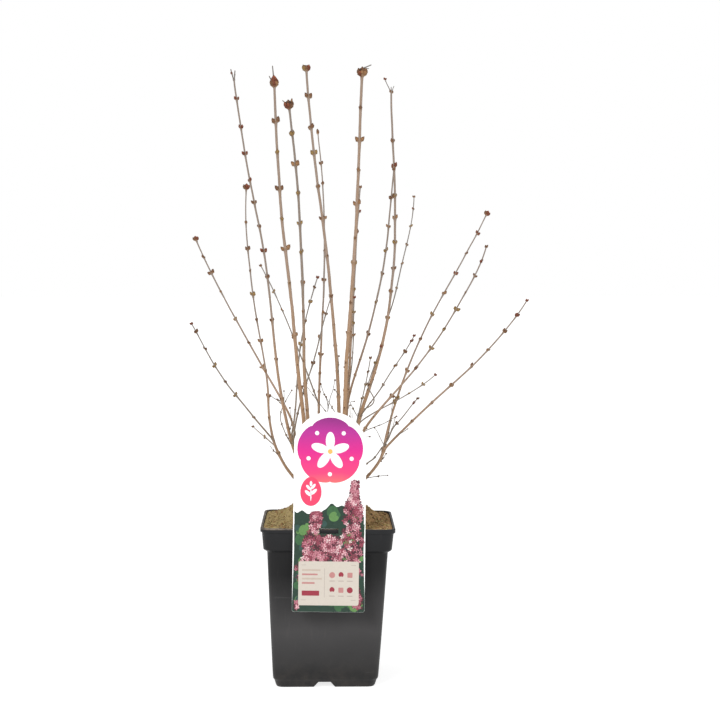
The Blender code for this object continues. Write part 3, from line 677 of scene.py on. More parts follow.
limbs = {}
chance = np.random.default_rng(41)
for index, (name, (parent, places, r_foot, r_mid, r_tip)) in enumerate(LIMBS.items()):
    places = [list(p) for p in places]
    if places[0][0] is None:
        mother = limbs[parent]
        on = mother.at(mother.at_height((places[0][2] + SHIFT[2]) * MM))
        places[0][0], places[0][1] = on[0] / MM - SHIFT[0], on[1] / MM - SHIFT[1]
    line = leaning_line(places)
    if name in THIN_ENDS:
        short, r_tip = THIN_ENDS[name]
        run = np.concatenate([[0.0], np.cumsum(np.linalg.norm(np.diff(line, axis=0), axis=1))])
        line = line[run <= run[-1] - short * MM]
    given = BUDS_AT[name]
    turn, _ = TIPS.get(name, (float(chance.uniform(22, 62)), "pair"))
    # sleeping buds below the first pair that has grown
    gap = given[1] - given[0] if len(given) > 1 else 30
    sleeping, low = [], given[0] - min(44, max(26, gap))
    while low > 24:
        sleeping.append(low)
        low -= float(chance.uniform(26, 40))
    nodes = sorted(sleeping) + list(given[:-1])
    turn -= 90 * (len(nodes) - 1)
    limb = Limb(name, line, r_foot, r_tip, nodes, turn, parent, seed=100 + index, r_mid=r_mid)
    limb.sleeping = len(sleeping)
    limbs[name] = limb

SKIN = {}   # shoots by name
for index, (name, (parent, foot_z, places, r_foot, r_tip)) in enumerate(SHOOTS.items()):
    if parent in limbs:
        mother = limbs[parent]
        foot = mother.at(mother.at_height((foot_z + SHIFT[2]) * MM))
    else:
        a, b = (np.array(STOOLS[parent][0]) + SHIFT) * MM, (np.array(STOOLS[parent][1]) + SHIFT) * MM
        foot = a + (b - a) * ((foot_z + SHIFT[2]) * MM - a[2]) / (b[2] - a[2])
    line = passing_line([foot] + [(np.array(p) + SHIFT) * MM for p in places])
    length = float(np.linalg.norm(np.diff(line, axis=0), axis=1).sum()) / MM
    gap = float(chance.uniform(15, 20))
    nodes = [n for n in np.arange(length - gap, 6, -gap)][::-1]
    limb = Limb(name, line, r_foot, r_tip, nodes, float(chance.uniform(0, 90)), parent, seed=300 + index)
    limb.sleeping = 0
    SKIN[name] = limb
for index, (name, (parent, share, places, r_foot, r_tip)) in enumerate(SHOOTLETS.items()):
    mother = SKIN[parent]
    foot = mother.at(mother.length * share)
    line = passing_line([foot] + [(np.array(p) + SHIFT) * MM for p in places])
    limb = Limb(name, line, r_foot, r_tip, [], float(chance.uniform(0, 90)), parent, seed=350 + index)
    limb.sleeping = 0
    SKIN[name] = limb

# short spurs on the limbs' hidden and far sides, by a seeded rule
SPUR_LIMBS = [
    "stem_left_tall", "stem_centre_left", "stem_centre_front", "stem_centre_back", "stem_right_thick",
    "stem_right_back", "stem_right_tall", "bough_right_back", "branch_left_back", "stem_left_front",
]
for index in range(18):
    mother = limbs[SPUR_LIMBS[index % len(SPUR_LIMBS)]]
    at = float(chance.uniform(0.08, 0.30)) * mother.length
    t, side, up = mother.axes(at)
    # they grow towards the back or the front, so that the sides show the crown as full
    face = math.radians(float(chance.uniform(62, 118))) * (1 if index % 3 else -1)
    out = side * math.cos(face) + up * math.sin(face)
    reach = float(chance.uniform(9, 30)) * MM
    a = mother.at(at)
    b = a + out * reach * 0.42 + t * reach * 0.45
    c = a + out * reach * 0.62 + t * reach
    line = passing_line([a, b, c])
    r = float(chance.uniform(0.45, 0.75))
    length = float(np.linalg.norm(np.diff(line, axis=0), axis=1).sum()) / MM
    nodes = [length * 0.6] if length > 17 else []
    limb = Limb(f"spur_{index}", line, r, r * 0.7, nodes, float(chance.uniform(0, 90)), mother.name, seed=400 + index)
    limb.sleeping = 0
    SKIN[limb.name] = limb

# knots at the buds, collars on the parents, and where each leaves its parent
for limb in list(limbs.values()) + list(SKIN.values()):
    for k, at in enumerate(limb.nodes):
        asleep = k < limb.sleeping
        size = (0.55 if asleep else 1.0) * (0.75 if limb.r_foot < 0.0009 else 1.0)
        limb.knots.append((at, math.radians(limb.turn + 90 * k), size))
    if TIPS.get(limb.name, (0, ""))[1] in ("plump", "ragged", "split", "crown", "small"):
        limb.knots.append((limb.length - 0.0004, math.radians(limb.turn + 90 * len(limb.nodes)), 0.95))
    mother = limbs.get(limb.parent) or SKIN.get(limb.parent)
    if mother is None:
        limb.out_at = 0.002
        continue
    gap = np.linalg.norm(limb.p[:, None, :] - mother.p[None, ::6, :], axis=2).min(1) if len(limb.p) < 900 else None
    joint = float(mother.s[int(np.argmin(np.linalg.norm(mother.p - limb.p[0], axis=1)))])
    thick = float(mother.radius(joint))
    clear = np.nonzero(gap > thick)[0]
    limb.out_at = float(limb.s[clear[0]]) if len(clear) else 0.0
    mother.collars.append((joint, turn_of(mother, joint, limb.at(limb.out_at + 0.002) - mother.at(joint)), limb.r_foot))


# ============================================================================
# bark
# ============================================================================
def bark_look(name, tan, pink, brown, film, rough=0.62):
    look = Look(name, tan, rough, 0.35)
    flow = look.place("along", (1.0, 1.0, 0.16))
    wide = look.place("along", (0.35, 0.35, 0.045))
    streak = look.noise(flow, 1.7, 5.0, 0.6)
    patch = look.noise(wide, 1.0, 3.0, 0.5)
    base = look.mix(look.range(patch, 0.38, 0.66, smooth=True), tan, pink)
    base = look.mix(look.range(streak, 0.44, 0.72, 0.0, 0.55), base, brown)
    # the thin grey skin that young wood keeps in streaks
    skin = look.noise(look.place("along", (0.8, 0.8, 0.07)), 1.2, 4.0, 0.6, 0.4)
    base = look.mix(look.range(skin, 0.56, 0.68, 0.0, 0.5, smooth=True), base, film)
    # greyer where it is young and thin, warmer low down and where it is thick
    base = look.mix(look.range(look.number("age"), 0.0, 0.40, 0.66, 0.0), base, (0.178, 0.158, 0.141))
    base = look.mix(look.range(look.number("age"), 0.20, 1.0, 0.0, 0.70), base, (0.362, 0.208, 0.102))
    base = look.mix(look.range(streak, 0.56, 0.78, 0.0, 0.45), base, brown)
    base = look.mix(look.range(look.number("knot"), 0.35, 1.0, 0.0, 0.55), base, tuple(c * 0.95 for c in brown))
    # pale dots of the breathing pores
    dots = look.cells(look.place("along", (1.0, 1.0, 0.45)), 0.62)
    base = look.mix(look.range(dots, 0.11, 0.19, 0.65, 0.0), base, tuple(min(1, c * 1.3) for c in tan))
    look.colour(base)
    look.roughness(look.range(streak, 0.3, 0.8, rough - 0.1, rough + 0.12))
    look.bump(streak, 0.00022, 0.5)
    look.bump(look.noise(look.place("along", (1.0, 1.0, 0.6)), 5.0, 3.0), 0.00008, 0.4)
    return look


BARK_STEM = bark_look("bark_stem", (0.285, 0.190, 0.126), (0.325, 0.235, 0.186), (0.188, 0.108, 0.056), (0.325, 0.288, 0.250))
BARK_DULL = bark_look("bark_stem_dull", (0.220, 0.156, 0.108), (0.252, 0.194, 0.158), (0.146, 0.090, 0.050), (0.258, 0.235, 0.208))
BARK_TWIG = bark_look("bark_twig", (0.218, 0.176, 0.134), (0.242, 0.206, 0.174), (0.146, 0.106, 0.068), (0.255, 0.255, 0.235))
BARK_FINE = bark_look("bark_fine", (0.180, 0.145, 0.110), (0.205, 0.172, 0.136), (0.112, 0.084, 0.060), (0.265, 0.245, 0.210))
DULL_LIMBS = ("stem_centre_front",)

for name, limb in limbs.items():
    thick = limb.r_foot > 0.0016
    heap = Heap()
    points, quads, tris, along, age, knot = tube_of(limb, 16 if thick else 12, 0.0016 if thick else 0.0014)
    heap.add(points, quads, tris, along=along, age=age, knot=knot)
    stem = name.startswith(("stem", "bough"))
    bark = BARK_DULL if name in DULL_LIMBS else BARK_STEM if thick else BARK_TWIG
    heap.piece(name + "_bark", [bark], "bark_stem" if stem else "bark_twig", [name], smooth=180)

heap = Heap()
for limb in SKIN.values():
    points, quads, tris, along, age, knot = tube_of(limb, 9, 0.0013)
    heap.add(points, quads, tris, along=along, age=age, knot=knot)
heap.piece("fine_twigs", [BARK_FINE], "bark_twig", smooth=180)


# ---- stools ------------------------------------------------------------------
OLD = Look("bark_old", (0.16, 0.10, 0.058), 0.85, 0.25)
flow = OLD.place("along", (1.0, 1.0, 0.35))
cracks = OLD.noise(flow, 0.9, 6.0, 0.65, 0.6)
plates = OLD.cells(OLD.place("along", (1.0, 1.0, 0.4)), 0.32)
skin = OLD.mix(OLD.range(cracks, 0.36, 0.66, smooth=True), (0.075, 0.045, 0.026), (0.230, 0.150, 0.090))
skin = OLD.mix(OLD.range(plates, 0.2, 0.9, 0.0, 0.4), skin, (0.300, 0.240, 0.180))
moss = OLD.noise(OLD.place("Object"), 190.0, 3.0)
skin = OLD.mix(OLD.range(moss, 0.56, 0.7, 0.0, 0.55), skin, (0.120, 0.125, 0.042))
OLD.colour(skin)
OLD.roughness(OLD.range(cracks, 0.3, 0.7, 0.92, 0.74))
OLD.bump(cracks, 0.0007, 0.8)

for index, (name, (foot, top, r_foot, r_top)) in enumerate(STOOLS.items()):
    a, b = (np.array(foot) + SHIFT) * MM - np.array([0, 0, 0.006]), (np.array(top) + SHIFT) * MM
    feet = [limb for limb in limbs.values() if limb.parent == name]
    sides, rows = 72, 84
    phi = np.arange(sides) / sides * 2 * math.pi
    points, along = [], []
    for k in range(rows):
        u = k / (rows - 1)
        # the last rows close over a rounded, knuckled head
        v = min(1.0, u / 0.86)
        centre = a + (b - a) * v
        r = (r_foot + (r_top - r_foot) * v**0.8) * MM
        z_soil = 0.2499
        r *= 1 + 0.30 * math.exp(-(((centre[2] - z_soil) / 0.0075) ** 2))
        r *= 1 + 0.06 * math.exp(-(((v - 0.62) / 0.12) ** 2)) - 0.05 * math.exp(-(((v - 0.40) / 0.12) ** 2))
        cap = 0.0
        if u > 0.86:
            w = (u - 0.86) / 0.14
            r *= math.cos(w * math.pi / 2) ** 0.7 if w < 1 else 0.0
            cap = 0.0042 * math.sin(w * math.pi / 2)
        ring = np.stack([np.cos(phi), np.sin(phi), np.zeros(sides)], -1)
        p = centre + ring * max(r, 0.0002) + np.array([0, 0, cap])
        points.append(p)
        along.append(np.stack([np.cos(phi) * 10, np.sin(phi) * 10, np.full(sides, p[0][2] / MM)], -1))
    points = np.array(points)
    axis = a + (b - a) * np.linspace(0, 1, rows)[:, None]
    out = points - axis[:, None, :]
    out[..., 2] *= 0.35
    out /= np.maximum(1e-9, np.linalg.norm(out, axis=2))[..., None]
    flat = points.reshape(-1, 3)
    lobes = noise(flat * np.array([150, 150, 55]), 70 + index) * 0.0011
    rough = layers(flat * np.array([520, 520, 190]), 80 + index, 4) * 0.0012
    crack = np.abs(noise(flat * np.array([330, 330, 85]), 90 + index))
    rough -= 0.0011 * np.exp(-(crack / 0.11) ** 2)
    bulge = np.zeros(len(flat))
    for limb in feet:
        c = limb.at(0.007)
        d = np.linalg.norm(flat - c, axis=1)
        bulge += 0.0016 * np.exp(-((d / (2.4 * limb.r_foot)) ** 2))
    push = (lobes + rough + np.minimum(bulge, 0.0026)).reshape(rows, sides)
    push[-1] = push[-1].mean()
    points = points + out * push[..., None]
    heap = Heap()
    pole = rows * sides
    k = np.arange(sides)
    tris = np.stack([np.full(sides, pole), (rows - 1) * sides + k, (rows - 1) * sides + (k + 1) % sides], -1)
    flat = np.concatenate([points.reshape(-1, 3), [points[-1].mean(0)]])
    flow = np.concatenate([np.array(along).reshape(-1, 3), [[0, 0, 290]]])
    heap.add(flat, weave(rows, sides), tris, along=flow)
    heap.piece(name + "_bark", [OLD], "bark_old", [name], smooth=180)


# ============================================================================
# buds
# ============================================================================
def swelling(t, high=0.86):
    """A bud's outline: half its width at each share of its length. With a
    bigger second number it is widest further up."""
    t = np.clip(t, 0, 1)
    return 0.262 * np.sin(np.pi * t**high) ** 0.92 + 0.085 * (1 - t) ** 3


def bud_shape(sides, seed, high=0.86):
    """A pointed bud of overlapping pairs of scales, one unit long, along +Z.
    Looks: 0 scales, 1 the dark rims of the scales, 2 the inner scales, 3 the
    two lowest scales."""
    rng = np.random.default_rng(seed)
    phi = np.arange(sides) / sides * 2 * math.pi
    heap_points, quads, tris, quad_looks, tri_looks = [], [], [], [], []
    count = 0
    square = 1 + 0.07 * np.cos(4 * phi)
    for layer, (lobe, gap, turn) in enumerate(((0.44, 0.20, 0.0), (0.66, 0.38, math.pi / 2), (0.86, 0.60, 0.0))):
        facing = np.abs(np.cos(phi - turn))
        rim = gap + (lobe - gap) * facing ** 2.2 * (1 + 0.06 * rng.uniform(-1, 1, sides))
        start = 0.0 if layer == 0 else max(0.0, (0.20, 0.38)[layer - 1] - 0.14)
        proud = (0.060, 0.042, 0.026)[layer]
        rows = []
        for j in range(4):
            t = start + (rim - start) * j / 3
            keel = 1 + 0.10 * facing**6 * (j / 3)
            rows.append(((swelling(t, high) + proud * (0.45 + 0.55 * j / 3)) * square * keel, t))
        t = rim - 0.008
        rows.append(((swelling(t, high) + proud * 0.25) * square * 0.97, t - 0.004))
        for r, t in rows:
            heap_points.append(np.stack([r * np.cos(phi), r * np.sin(phi), np.broadcast_to(t, (sides,))], -1))
        made = weave(5, sides, start=count)
        quads.append(made)
        quad_looks.append(np.concatenate([np.full(sides * 3, 0 if layer else 3), np.ones(sides)]))
        count += 5 * sides
    rows = []
    for t in (0.5, 0.66, 0.80, 0.92):
        r = swelling(np.full(sides, t), high) * square
        rows.append(np.stack([r * np.cos(phi), r * np.sin(phi), np.full(sides, t)], -1))
    heap_points += rows
    heap_points.append(np.array([[0.0, 0.0, 1.0]]))
    quads.append(weave(4, sides, start=count))
    quad_looks.append(np.full(sides * 3, 2))
    k = np.arange(sides)
    tris.append(np.stack([np.full(sides, count + 4 * sides), count + 3 * sides + k, count + 3 * sides + (k + 1) % sides], -1))
    tri_looks.append(np.full(sides, 1))
    points = np.concatenate(heap_points)
    # a slight bend towards the stem
    points[:, 0] -= 0.09 * points[:, 2] ** 2
    return points, np.concatenate(quads), np.concatenate(tris), np.concatenate(quad_looks), np.concatenate(tri_looks)


BUDS = [bud_shape(12, seed) for seed in (1, 2, 3)]
SMALL_BUDS = [bud_shape(8, seed) for seed in (4, 5)]
TOP_BUDS = [bud_shape(14, seed, 1.30) for seed in (6, 7, 8)]
BUD_HEAPS = {key: Heap() for key in ("red", "brown", "tan", "olive")}


def put_bud(kind, at, axis, away, length, width=1.0, small=False, pick=0):
    """A bud with its foot at a place, along an axis, keeled away."""
    shapes = TOP_BUDS if small == "top" else SMALL_BUDS if small else BUDS
    points, quads, tris, ql, tl = shapes[pick % len(shapes)]
    z = unit(axis)
    x = unit(away - z * np.dot(away, z))
    y = np.cross(z, x)
    p = at + length * (width * points[:, :1] * x + width * points[:, 1:2] * y + points[:, 2:3] * z)
    BUD_HEAPS[kind].add(p, quads, tris, ql, tl)


SCARS = Heap()
_k = 10
_a = np.arange(_k) / _k * 2 * math.pi


def put_scar(limb, s, turn, size):
    """The ledge of a fallen leaf below a bud: a raised half moon."""
    t, side, up = limb.axes(s)
    out = side * math.cos(turn) + up * math.sin(turn)
    across = np.cross(t, out)
    r = float(limb.radius(s)) + min(0.8 * MM, 0.22 * MM + 0.42 * float(limb.radius(s))) * 0.75
    centre = limb.at(s) + out * r
    rows = []
    for wide, tall, high, lift in ((1.0, 0.62, -0.35, 0.0), (0.98, 0.60, 0.15, 0.03), (0.80, 0.44, 0.40, 0.1), (0.70, 0.36, 0.30, 0.1)):
        moon = np.sin(_a) * tall * np.where(np.sin(_a) > 0, 0.55, 1.0)
        bend = 0.18 * np.cos(_a) ** 2
        rows.append(centre + size * (np.cos(_a)[:, None] * wide * across + (moon + bend + lift)[:, None] * t
                                     + (high - 0.28 * wide * np.cos(_a) ** 2)[:, None] * out))
    points = np.concatenate(rows + [[centre + size * (0.26 * out + 0.08 * t)]])
    quads = weave(4, _k)
    k = np.arange(_k)
    tris = np.stack([np.full(_k, 4 * _k), 3 * _k + k, 3 * _k + (k + 1) % _k], -1)
    SCARS.add(points, quads, tris, np.concatenate([np.zeros(3 * _k)]), np.ones(_k))


def kind_for(share, rng, tip_red):
    """Colour of a pair by its place: red near the tips, then brown, tan and
    olive further down."""
    x = (1 - share) + rng.uniform(-0.07, 0.10)
    if x < 0.06 * tip_red:
        return "red"
    if x < 0.18 * tip_red:
        return "red" if rng.random() < 0.2 else "brown"
    if x < 0.5:
        return rng.choice(["brown", "tan", "olive"], p=[0.24, 0.42, 0.34])
    return rng.choice(["brown", "tan", "olive"], p=[0.30, 0.46, 0.24])


def put_pair(limb, at, turn, length, kind, rng, spread, small=False, scar=True, skip=None):
    t, side, up = limb.axes(at)
    r = float(limb.radius(at))
    for half in (0, 1):
        if skip == half:
            continue
        a = turn + math.pi * half
        out = side * math.cos(a) + up * math.sin(a)
        lean = math.radians(spread + rng.uniform(-13, 13))
        drift = rng.uniform(-0.0010, 0.0008)
        axis = t * math.cos(lean) + out * math.sin(lean)
        size = length * rng.uniform(0.86, 1.12)
        foot = limb.at(at - (0.0007 if small else 0.0016) + drift) + out * (r * 0.66 + 0.00030)
        put_bud(kind, foot - axis * 0.06 * size, axis, out, size, rng.uniform(0.90, 1.12), small, int(rng.integers(0, 3)))
        if scar:
            put_scar(limb, at - (0.0010 if small else 0.0019) + drift, a, min(1.5 * MM, 0.6 * r + 0.55 * MM) * (0.8 if small else 1.0))


luck = np.random.default_rng(77)
RED_TIPS = {"stem_left_tall": 4.4, "stem_centre_left": 0.4, "stem_centre_front": 0.4, "stem_centre_back": 0.4, "stem_right_thick": 0.4, "stem_left_front": 1.0, "branch_left_back": 1.0, "stem_right_tall": 1.1, "bough_right_back": 1.5, "bough_right_front": 1.0}
for name, limb in limbs.items():
    rng = np.random.default_rng(limb.seed + 900)
    tip_red = RED_TIPS.get(name, 1.0)
    thin = limb.r_foot < 0.0016
    for k, at in enumerate(limb.nodes):
        turn = math.radians(limb.turn + 90 * k)
        asleep = k < limb.sleeping
        r = float(limb.radius(at)) / MM
        if asleep:
            put_pair(limb, at, turn, (1.6 + 0.55 * r) * MM, "brown" if rng.random() < 0.6 else "tan", rng, 30, small=True)
            continue
        share = at / limb.length
        vigour = 5.2 + 1.25 * r if not thin else 3.9 + 1.6 * r
        strong = STRONG.get(name)
        if strong:
            low = strong[min(len(limb.nodes) - 1 - k, len(strong) - 1)]
        else:
            low = rng.uniform(0.55, 1.05) * float(np.interp(share, (0.25, 0.6), (0.65, 1.0)))
        kind = kind_for(share, rng, tip_red)
        put_pair(limb, at, turn, 1.12 * vigour * low * MM, kind, rng, rng.uniform(30, 44), skip=None if rng.random() > 0.06 else int(rng.integers(0, 2)))


# ---- how each limb ends --------------------------------------------------------
STUBS = Heap()


def stub(foot, direction, length, radius, bend=(0, 0, 0), node_at=None):
    """A dry stalk with a broken end."""
    d = unit(direction)
    points = passing_line([foot - d * 0.0006, foot + d * length * 0.5 + np.array(bend) * 0.6, foot + d * length + np.array(bend)])
    small = Limb("stub", points, radius / MM, radius * 0.78 / MM, [], 0.0, seed=int(abs(foot[0]) * 1e6) % 997 + 5)
    if node_at:
        small.knots.append((small.length * node_at, 0.3, 0.45))
    small.out_at = 0.0
    p, q, t, along, age, knot = tube_of(small, 7, 0.0009)
    STUBS.add(p, q, t, along=along, age=age * 0, knot=knot)
    return small


def flakes(at, axis, count, size, rng):
    """Loose dry scales round a cluster: little curved blades."""
    z = unit(axis)
    x = unit(np.cross(z, [0.3, 0.9, 0.1]))
    y = np.cross(z, x)
    for _ in range(count):
        a = rng.uniform(0, 2 * math.pi)
        out = x * math.cos(a) + y * math.sin(a)
        across = np.cross(z, out)
        rows = []
        tall = size * rng.uniform(0.75, 1.2)
        for j in range(5):
            v = j / 4
            wide = 0.42 * tall * math.sin(math.pi * (0.12 + 0.86 * v)) ** 0.8
            mid = at + z * tall * v + out * tall * (0.34 + 0.10 * math.sin(v * 3.1) + 0.20 * v * v)
            rows += [mid - across * wide, mid + out * wide * 0.25, mid + across * wide]
        rows = np.array(rows)
        back = rows - out * 0.00012
        quads = weave(5, 3, closed=False)
        flip = quads[:, ::-1] + 15
        edge = []
        for j in range(4):
            a0, a1 = j * 3, (j + 1) * 3
            edge += [[a1, a0, a0 + 15, a1 + 15], [a0 + 2, a1 + 2, a1 + 17, a0 + 17]]
        edge += [[0, 1, 16, 15], [1, 2, 17, 16], [13, 12, 27, 28], [14, 13, 28, 29]]
        BUD_HEAPS["brown"].add(np.concatenate([rows, back]), np.concatenate([quads, flip, np.array(edge)]), None, 1)


def cluster(limb, sizes, leans, turns, kinds, plump=1.0, tilt=(0, 0)):
    """A terminal group of buds: lengths in mm, leans and turns in degrees."""
    t, side, up = limb.axes(limb.length)
    tip = limb.at(limb.length)
    t = unit(t + side * tilt[0] + up * tilt[1])
    for size, lean, turn, kind in zip(sizes, leans, turns, kinds):
        a = math.radians(turn)
        out = side * math.cos(a) + up * math.sin(a)
        b = math.radians(lean)
        axis = t * math.cos(b) + out * math.sin(b)
        sunk = 0.0032 if 9.7 < size and lean > 5.5 else min(0.0020, 0.16 * size * MM)
        foot = tip - t * sunk + out * (0.0001 + 0.006 * size * MM * lean / 10)
        put_bud(kind, foot, axis, out, size * MM, plump, "top" if size > 7.5 else False, int(size * 7) % 3)
    return t, side, up, tip


for name, limb in limbs.items():
    rng = np.random.default_rng(limb.seed + 1700)
    _, end = TIPS.get(name, (0, "pair"))
    r = limb.r_tip / MM
    t, side, up = limb.axes(limb.length)
    tip = limb.at(limb.length)
    if end == "plump":
        cluster(limb, (16.6, 13.8, 13.4, 12.0, 11.8), (2, 18, 20, 18, 15), (60, 5, 183, 93, 268), ("red", "tan", "brown", "brown", "red"), 0.98)
        flakes(tip - t * 0.0006, t, 4, 0.0070, rng)
        stub(tip + t * 0.0126 - side * 0.0008, t - side * 0.07, 0.0145, 0.00095)
        stub(tip + t * 0.0080 - side * 0.0044, t - side * 0.50, 0.0056, 0.00085)
    elif end == "ragged":
        cluster(limb, (12.6, 13.0, 12.6, 11.4, 11.4, 10.6), (5, 30, 29, 24, 25, 38), (20, 2, 178, 84, 266, 320), ("brown", "brown", "red", "brown", "red", "brown"), 0.86)
        flakes(tip + t * 0.0004, t, 7, 0.0070, rng)
        stub(tip + t * 0.0066 - side * 0.0046, t - side * 0.85, 0.0046, 0.00080)
        put_bud("tan", tip + t * 0.0050 + side * 0.0036, t + side * 0.42, side, 0.0072, 0.60, True)
    elif end == "split":
        cluster(limb, (11.6, 11.8, 10.0, 9.8), (27, 28, 20, 20), (4, 182, 92, 268), ("red", "olive", "brown", "brown"), 0.98)
        flakes(tip + t * 0.0006, t, 4, 0.0050, rng)
    elif end == "crown":
        cluster(limb, (13.4, 13.8, 13.4, 12.0, 11.8, 10.6), (4, 29, 30, 25, 23, 38), (60, 2, 182, 88, 264, 225), ("brown", "tan", "brown", "olive", "tan", "red"), 0.96)
        flakes(tip + t * 0.0006, t, 8, 0.0070, rng)
        stub(tip + t * 0.0096 + side * 0.0030, t * 0.46 + side * 1.0, 0.0104, 0.00090)
        stub(tip + t * 0.0080 + side * 0.0050, t * 0.18 + side * 1.0, 0.0044, 0.00070)
    elif end == "single":
        cluster(limb, (9.6, 6.0), (3, 16), (30, 200), ("brown", "tan"), 0.78)
    elif end == "fork":
        for sign, lean, long in ((-1, -0.17, 0.0164), (1, 0.19, 0.0138)):
            small = stub(tip - t * 0.0008 + side * sign * 0.0005, t + side * lean, long, 0.00100, bend=(sign * -0.0002, 0, 0), node_at=0.62)
            if sign < 0:
                put_bud("red", small.at(small.length * 0.56), t - side * 0.45, -side, 0.0044, 1.1, True)
    elif end == "spur":
        put_pair(limb, limb.length - 0.0004, math.radians(12), 4.2 * MM, "brown", rng, 20)
        small = stub(tip - side * 0.0010, t - side * 0.32, 0.0200, 0.00068, bend=(-0.0030, 0, 0), node_at=0.8)
        put_bud("red", small.at(small.length * 0.88), t - side * 0.6, -side, 0.0044, 1.0, True)
        put_bud("red", small.at(small.length * 0.88), t + side * 0.9, side, 0.0038, 1.0, True)
        stub(tip, t, 0.0062, 0.00075)
        stub(tip + side * 0.0010, t + side * 0.42, 0.0082, 0.00062)
    elif end == "small":
        cluster(limb, (9.2, 8.2, 8.0, 6.6), (6, 33, 35, 30), (15, 186, 4, 90), ("red", "brown", "red", "red"), 0.95)
    else:
        size = 3.6 + 1.7 * r
        kind = "red" if rng.random() < 0.35 else "brown"
        cluster(limb, (size, size * 0.92), (22, 30), (12, 190), (kind, kind), 0.95)

for limb in SKIN.values():
    rng = np.random.default_rng(limb.seed + 2500)
    for k, at in enumerate(limb.nodes):
        if rng.random() < 0.85:
            put_pair(limb, at, math.radians(limb.turn + 90 * k), rng.uniform(2.0, 2.9) * MM, "brown" if rng.random() < 0.7 else "olive", rng, 32, small=True, scar=False)
    t, side, up = limb.axes(limb.length)
    tip = limb.at(limb.length)
    if rng.random() < 0.75:
        size = rng.uniform(2.4, 3.6) * MM
        for sign in (1, -1):
            put_bud("brown", tip - t * 0.0006, t * 0.93 + sign * side * 0.36, side * sign, size, 0.95, True)


def bud_look(name, scale, rim, inner, outer):
    """Four finishes of a bud's scales, with fine lengthwise grain."""
    made = []
    for part, colour, rough in (("scale", scale, 0.52), ("rim", rim, 0.70), ("inner", inner, 0.50), ("outer", outer, 0.60)):
        look = Look(f"{name}_{part}", colour, rough, 0.28)
        grain = look.noise(look.place("Object", (1.0, 1.0, 0.5)), 900.0, 3.0, 0.6)
        patch = look.noise(look.place("Object"), 210.0, 2.0)
        tone = look.mix(look.range(grain, 0.35, 0.7), tuple(c * 0.72 for c in colour), tuple(min(1, c * 1.22) for c in colour))
        look.colour(look.mix(look.range(patch, 0.5, 0.7, 0.0, 0.35), tone, tuple(c * 0.6 for c in colour)))
        look.roughness(look.range(grain, 0.3, 0.7, rough - 0.08, rough + 0.12))
        look.bump(grain, 0.00010, 0.5)
        made.append(look)
    return made


BUD_LOOKS = {
    "red": bud_look("bud_red", (0.150, 0.040, 0.018), (0.050, 0.018, 0.010), (0.225, 0.060, 0.023), (0.200, 0.078, 0.040)),
    "brown": bud_look("bud_brown", (0.165, 0.078, 0.036), (0.055, 0.028, 0.016), (0.130, 0.058, 0.026), (0.250, 0.146, 0.084)),
    "tan": bud_look("bud_tan", (0.262, 0.134, 0.058), (0.075, 0.040, 0.020), (0.185, 0.086, 0.034), (0.290, 0.176, 0.102)),
    "olive": bud_look("bud_olive", (0.262, 0.160, 0.052), (0.075, 0.044, 0.020), (0.180, 0.100, 0.034), (0.280, 0.180, 0.098)),
}
for key, heap in BUD_HEAPS.items():
    heap.piece("buds_" + key, BUD_LOOKS[key], "bark_twig", smooth=55)

SCAR_SKIN = Look("leaf_scar_skin", (0.33, 0.20, 0.115), 0.66, 0.35)
g = SCAR_SKIN.noise(SCAR_SKIN.place("Object"), 700.0, 4.0)
SCAR_SKIN.colour(SCAR_SKIN.mix(SCAR_SKIN.range(g, 0.35, 0.7), (0.240, 0.132, 0.068), (0.400, 0.255, 0.155)))
SCAR_SKIN.bump(g, 0.0001, 0.5)
SCAR_FACE = Look("leaf_scar_face", (0.072, 0.044, 0.026), 0.8, 0.3)
g = SCAR_FACE.noise(SCAR_FACE.place("Object"), 1300.0, 3.0)
SCAR_FACE.colour(SCAR_FACE.mix(g, (0.045, 0.027, 0.017), (0.125, 0.082, 0.052)))
SCAR_FACE.bump(g, 0.0001, 0.6)
SCARS.piece("leaf_scars", [SCAR_SKIN, SCAR_FACE], "bark_twig", smooth=40)

DRY = bark_look("bark_dry", (0.120, 0.096, 0.078), (0.140, 0.112, 0.092), (0.070, 0.052, 0.042), (0.170, 0.155, 0.138), 0.75)
STUBS.piece("dry_stubs", [DRY], "bark_twig", smooth=180)

# ---- breathing pores of the bark: small raised lenses --------------------------
PORES = Heap()
for limb in limbs.values():
    if limb.r_foot < 0.0012:
        continue
    rng = np.random.default_rng(limb.seed + 3300)
    count = int(limb.length / MM * 0.22)
    for _ in range(count):
        at = rng.uniform(limb.out_at + 0.006, limb.length - 0.006)
        turn = rng.uniform(0, 2 * math.pi)
        if min(abs(at - n) for n in limb.nodes) < 0.005:
            continue
        t, side, up = limb.axes(at)
        out = side * math.cos(turn) + up * math.sin(turn)
        across = np.cross(t, out)
        r = float(limb.radius(at))
        centre = limb.at(at) + out * r * 1.005
        tall, wide = rng.uniform(0.45, 0.85) * MM, rng.uniform(0.20, 0.32) * MM
        ang = np.arange(7) / 7 * 2 * math.pi
        base = centre + np.cos(ang)[:, None] * wide * across + np.sin(ang)[:, None] * tall * t - out * 0.00012
        top = centre + 0.55 * (np.cos(ang)[:, None] * wide * across + np.sin(ang)[:, None] * tall * t) + out * 0.00010
        points = np.concatenate([base, top, [centre + out * 0.00007]])
        k = np.arange(7)
        PORES.add(points, weave(2, 7), np.stack([np.full(7, 14), 7 + k, 7 + (k + 1) % 7], -1))
PORE = Look("bark_pore", (0.46, 0.33, 0.23), 0.8, 0.25)
g = PORE.noise(PORE.place("Object"), 1500.0, 2.0)
PORE.colour(PORE.mix(g, (0.34, 0.23, 0.15), (0.54, 0.40, 0.29)))
PORE.bump(g, 0.00006, 0.5)
PORES.piece("bark_pores", [PORE], "bark_stem", smooth=180)


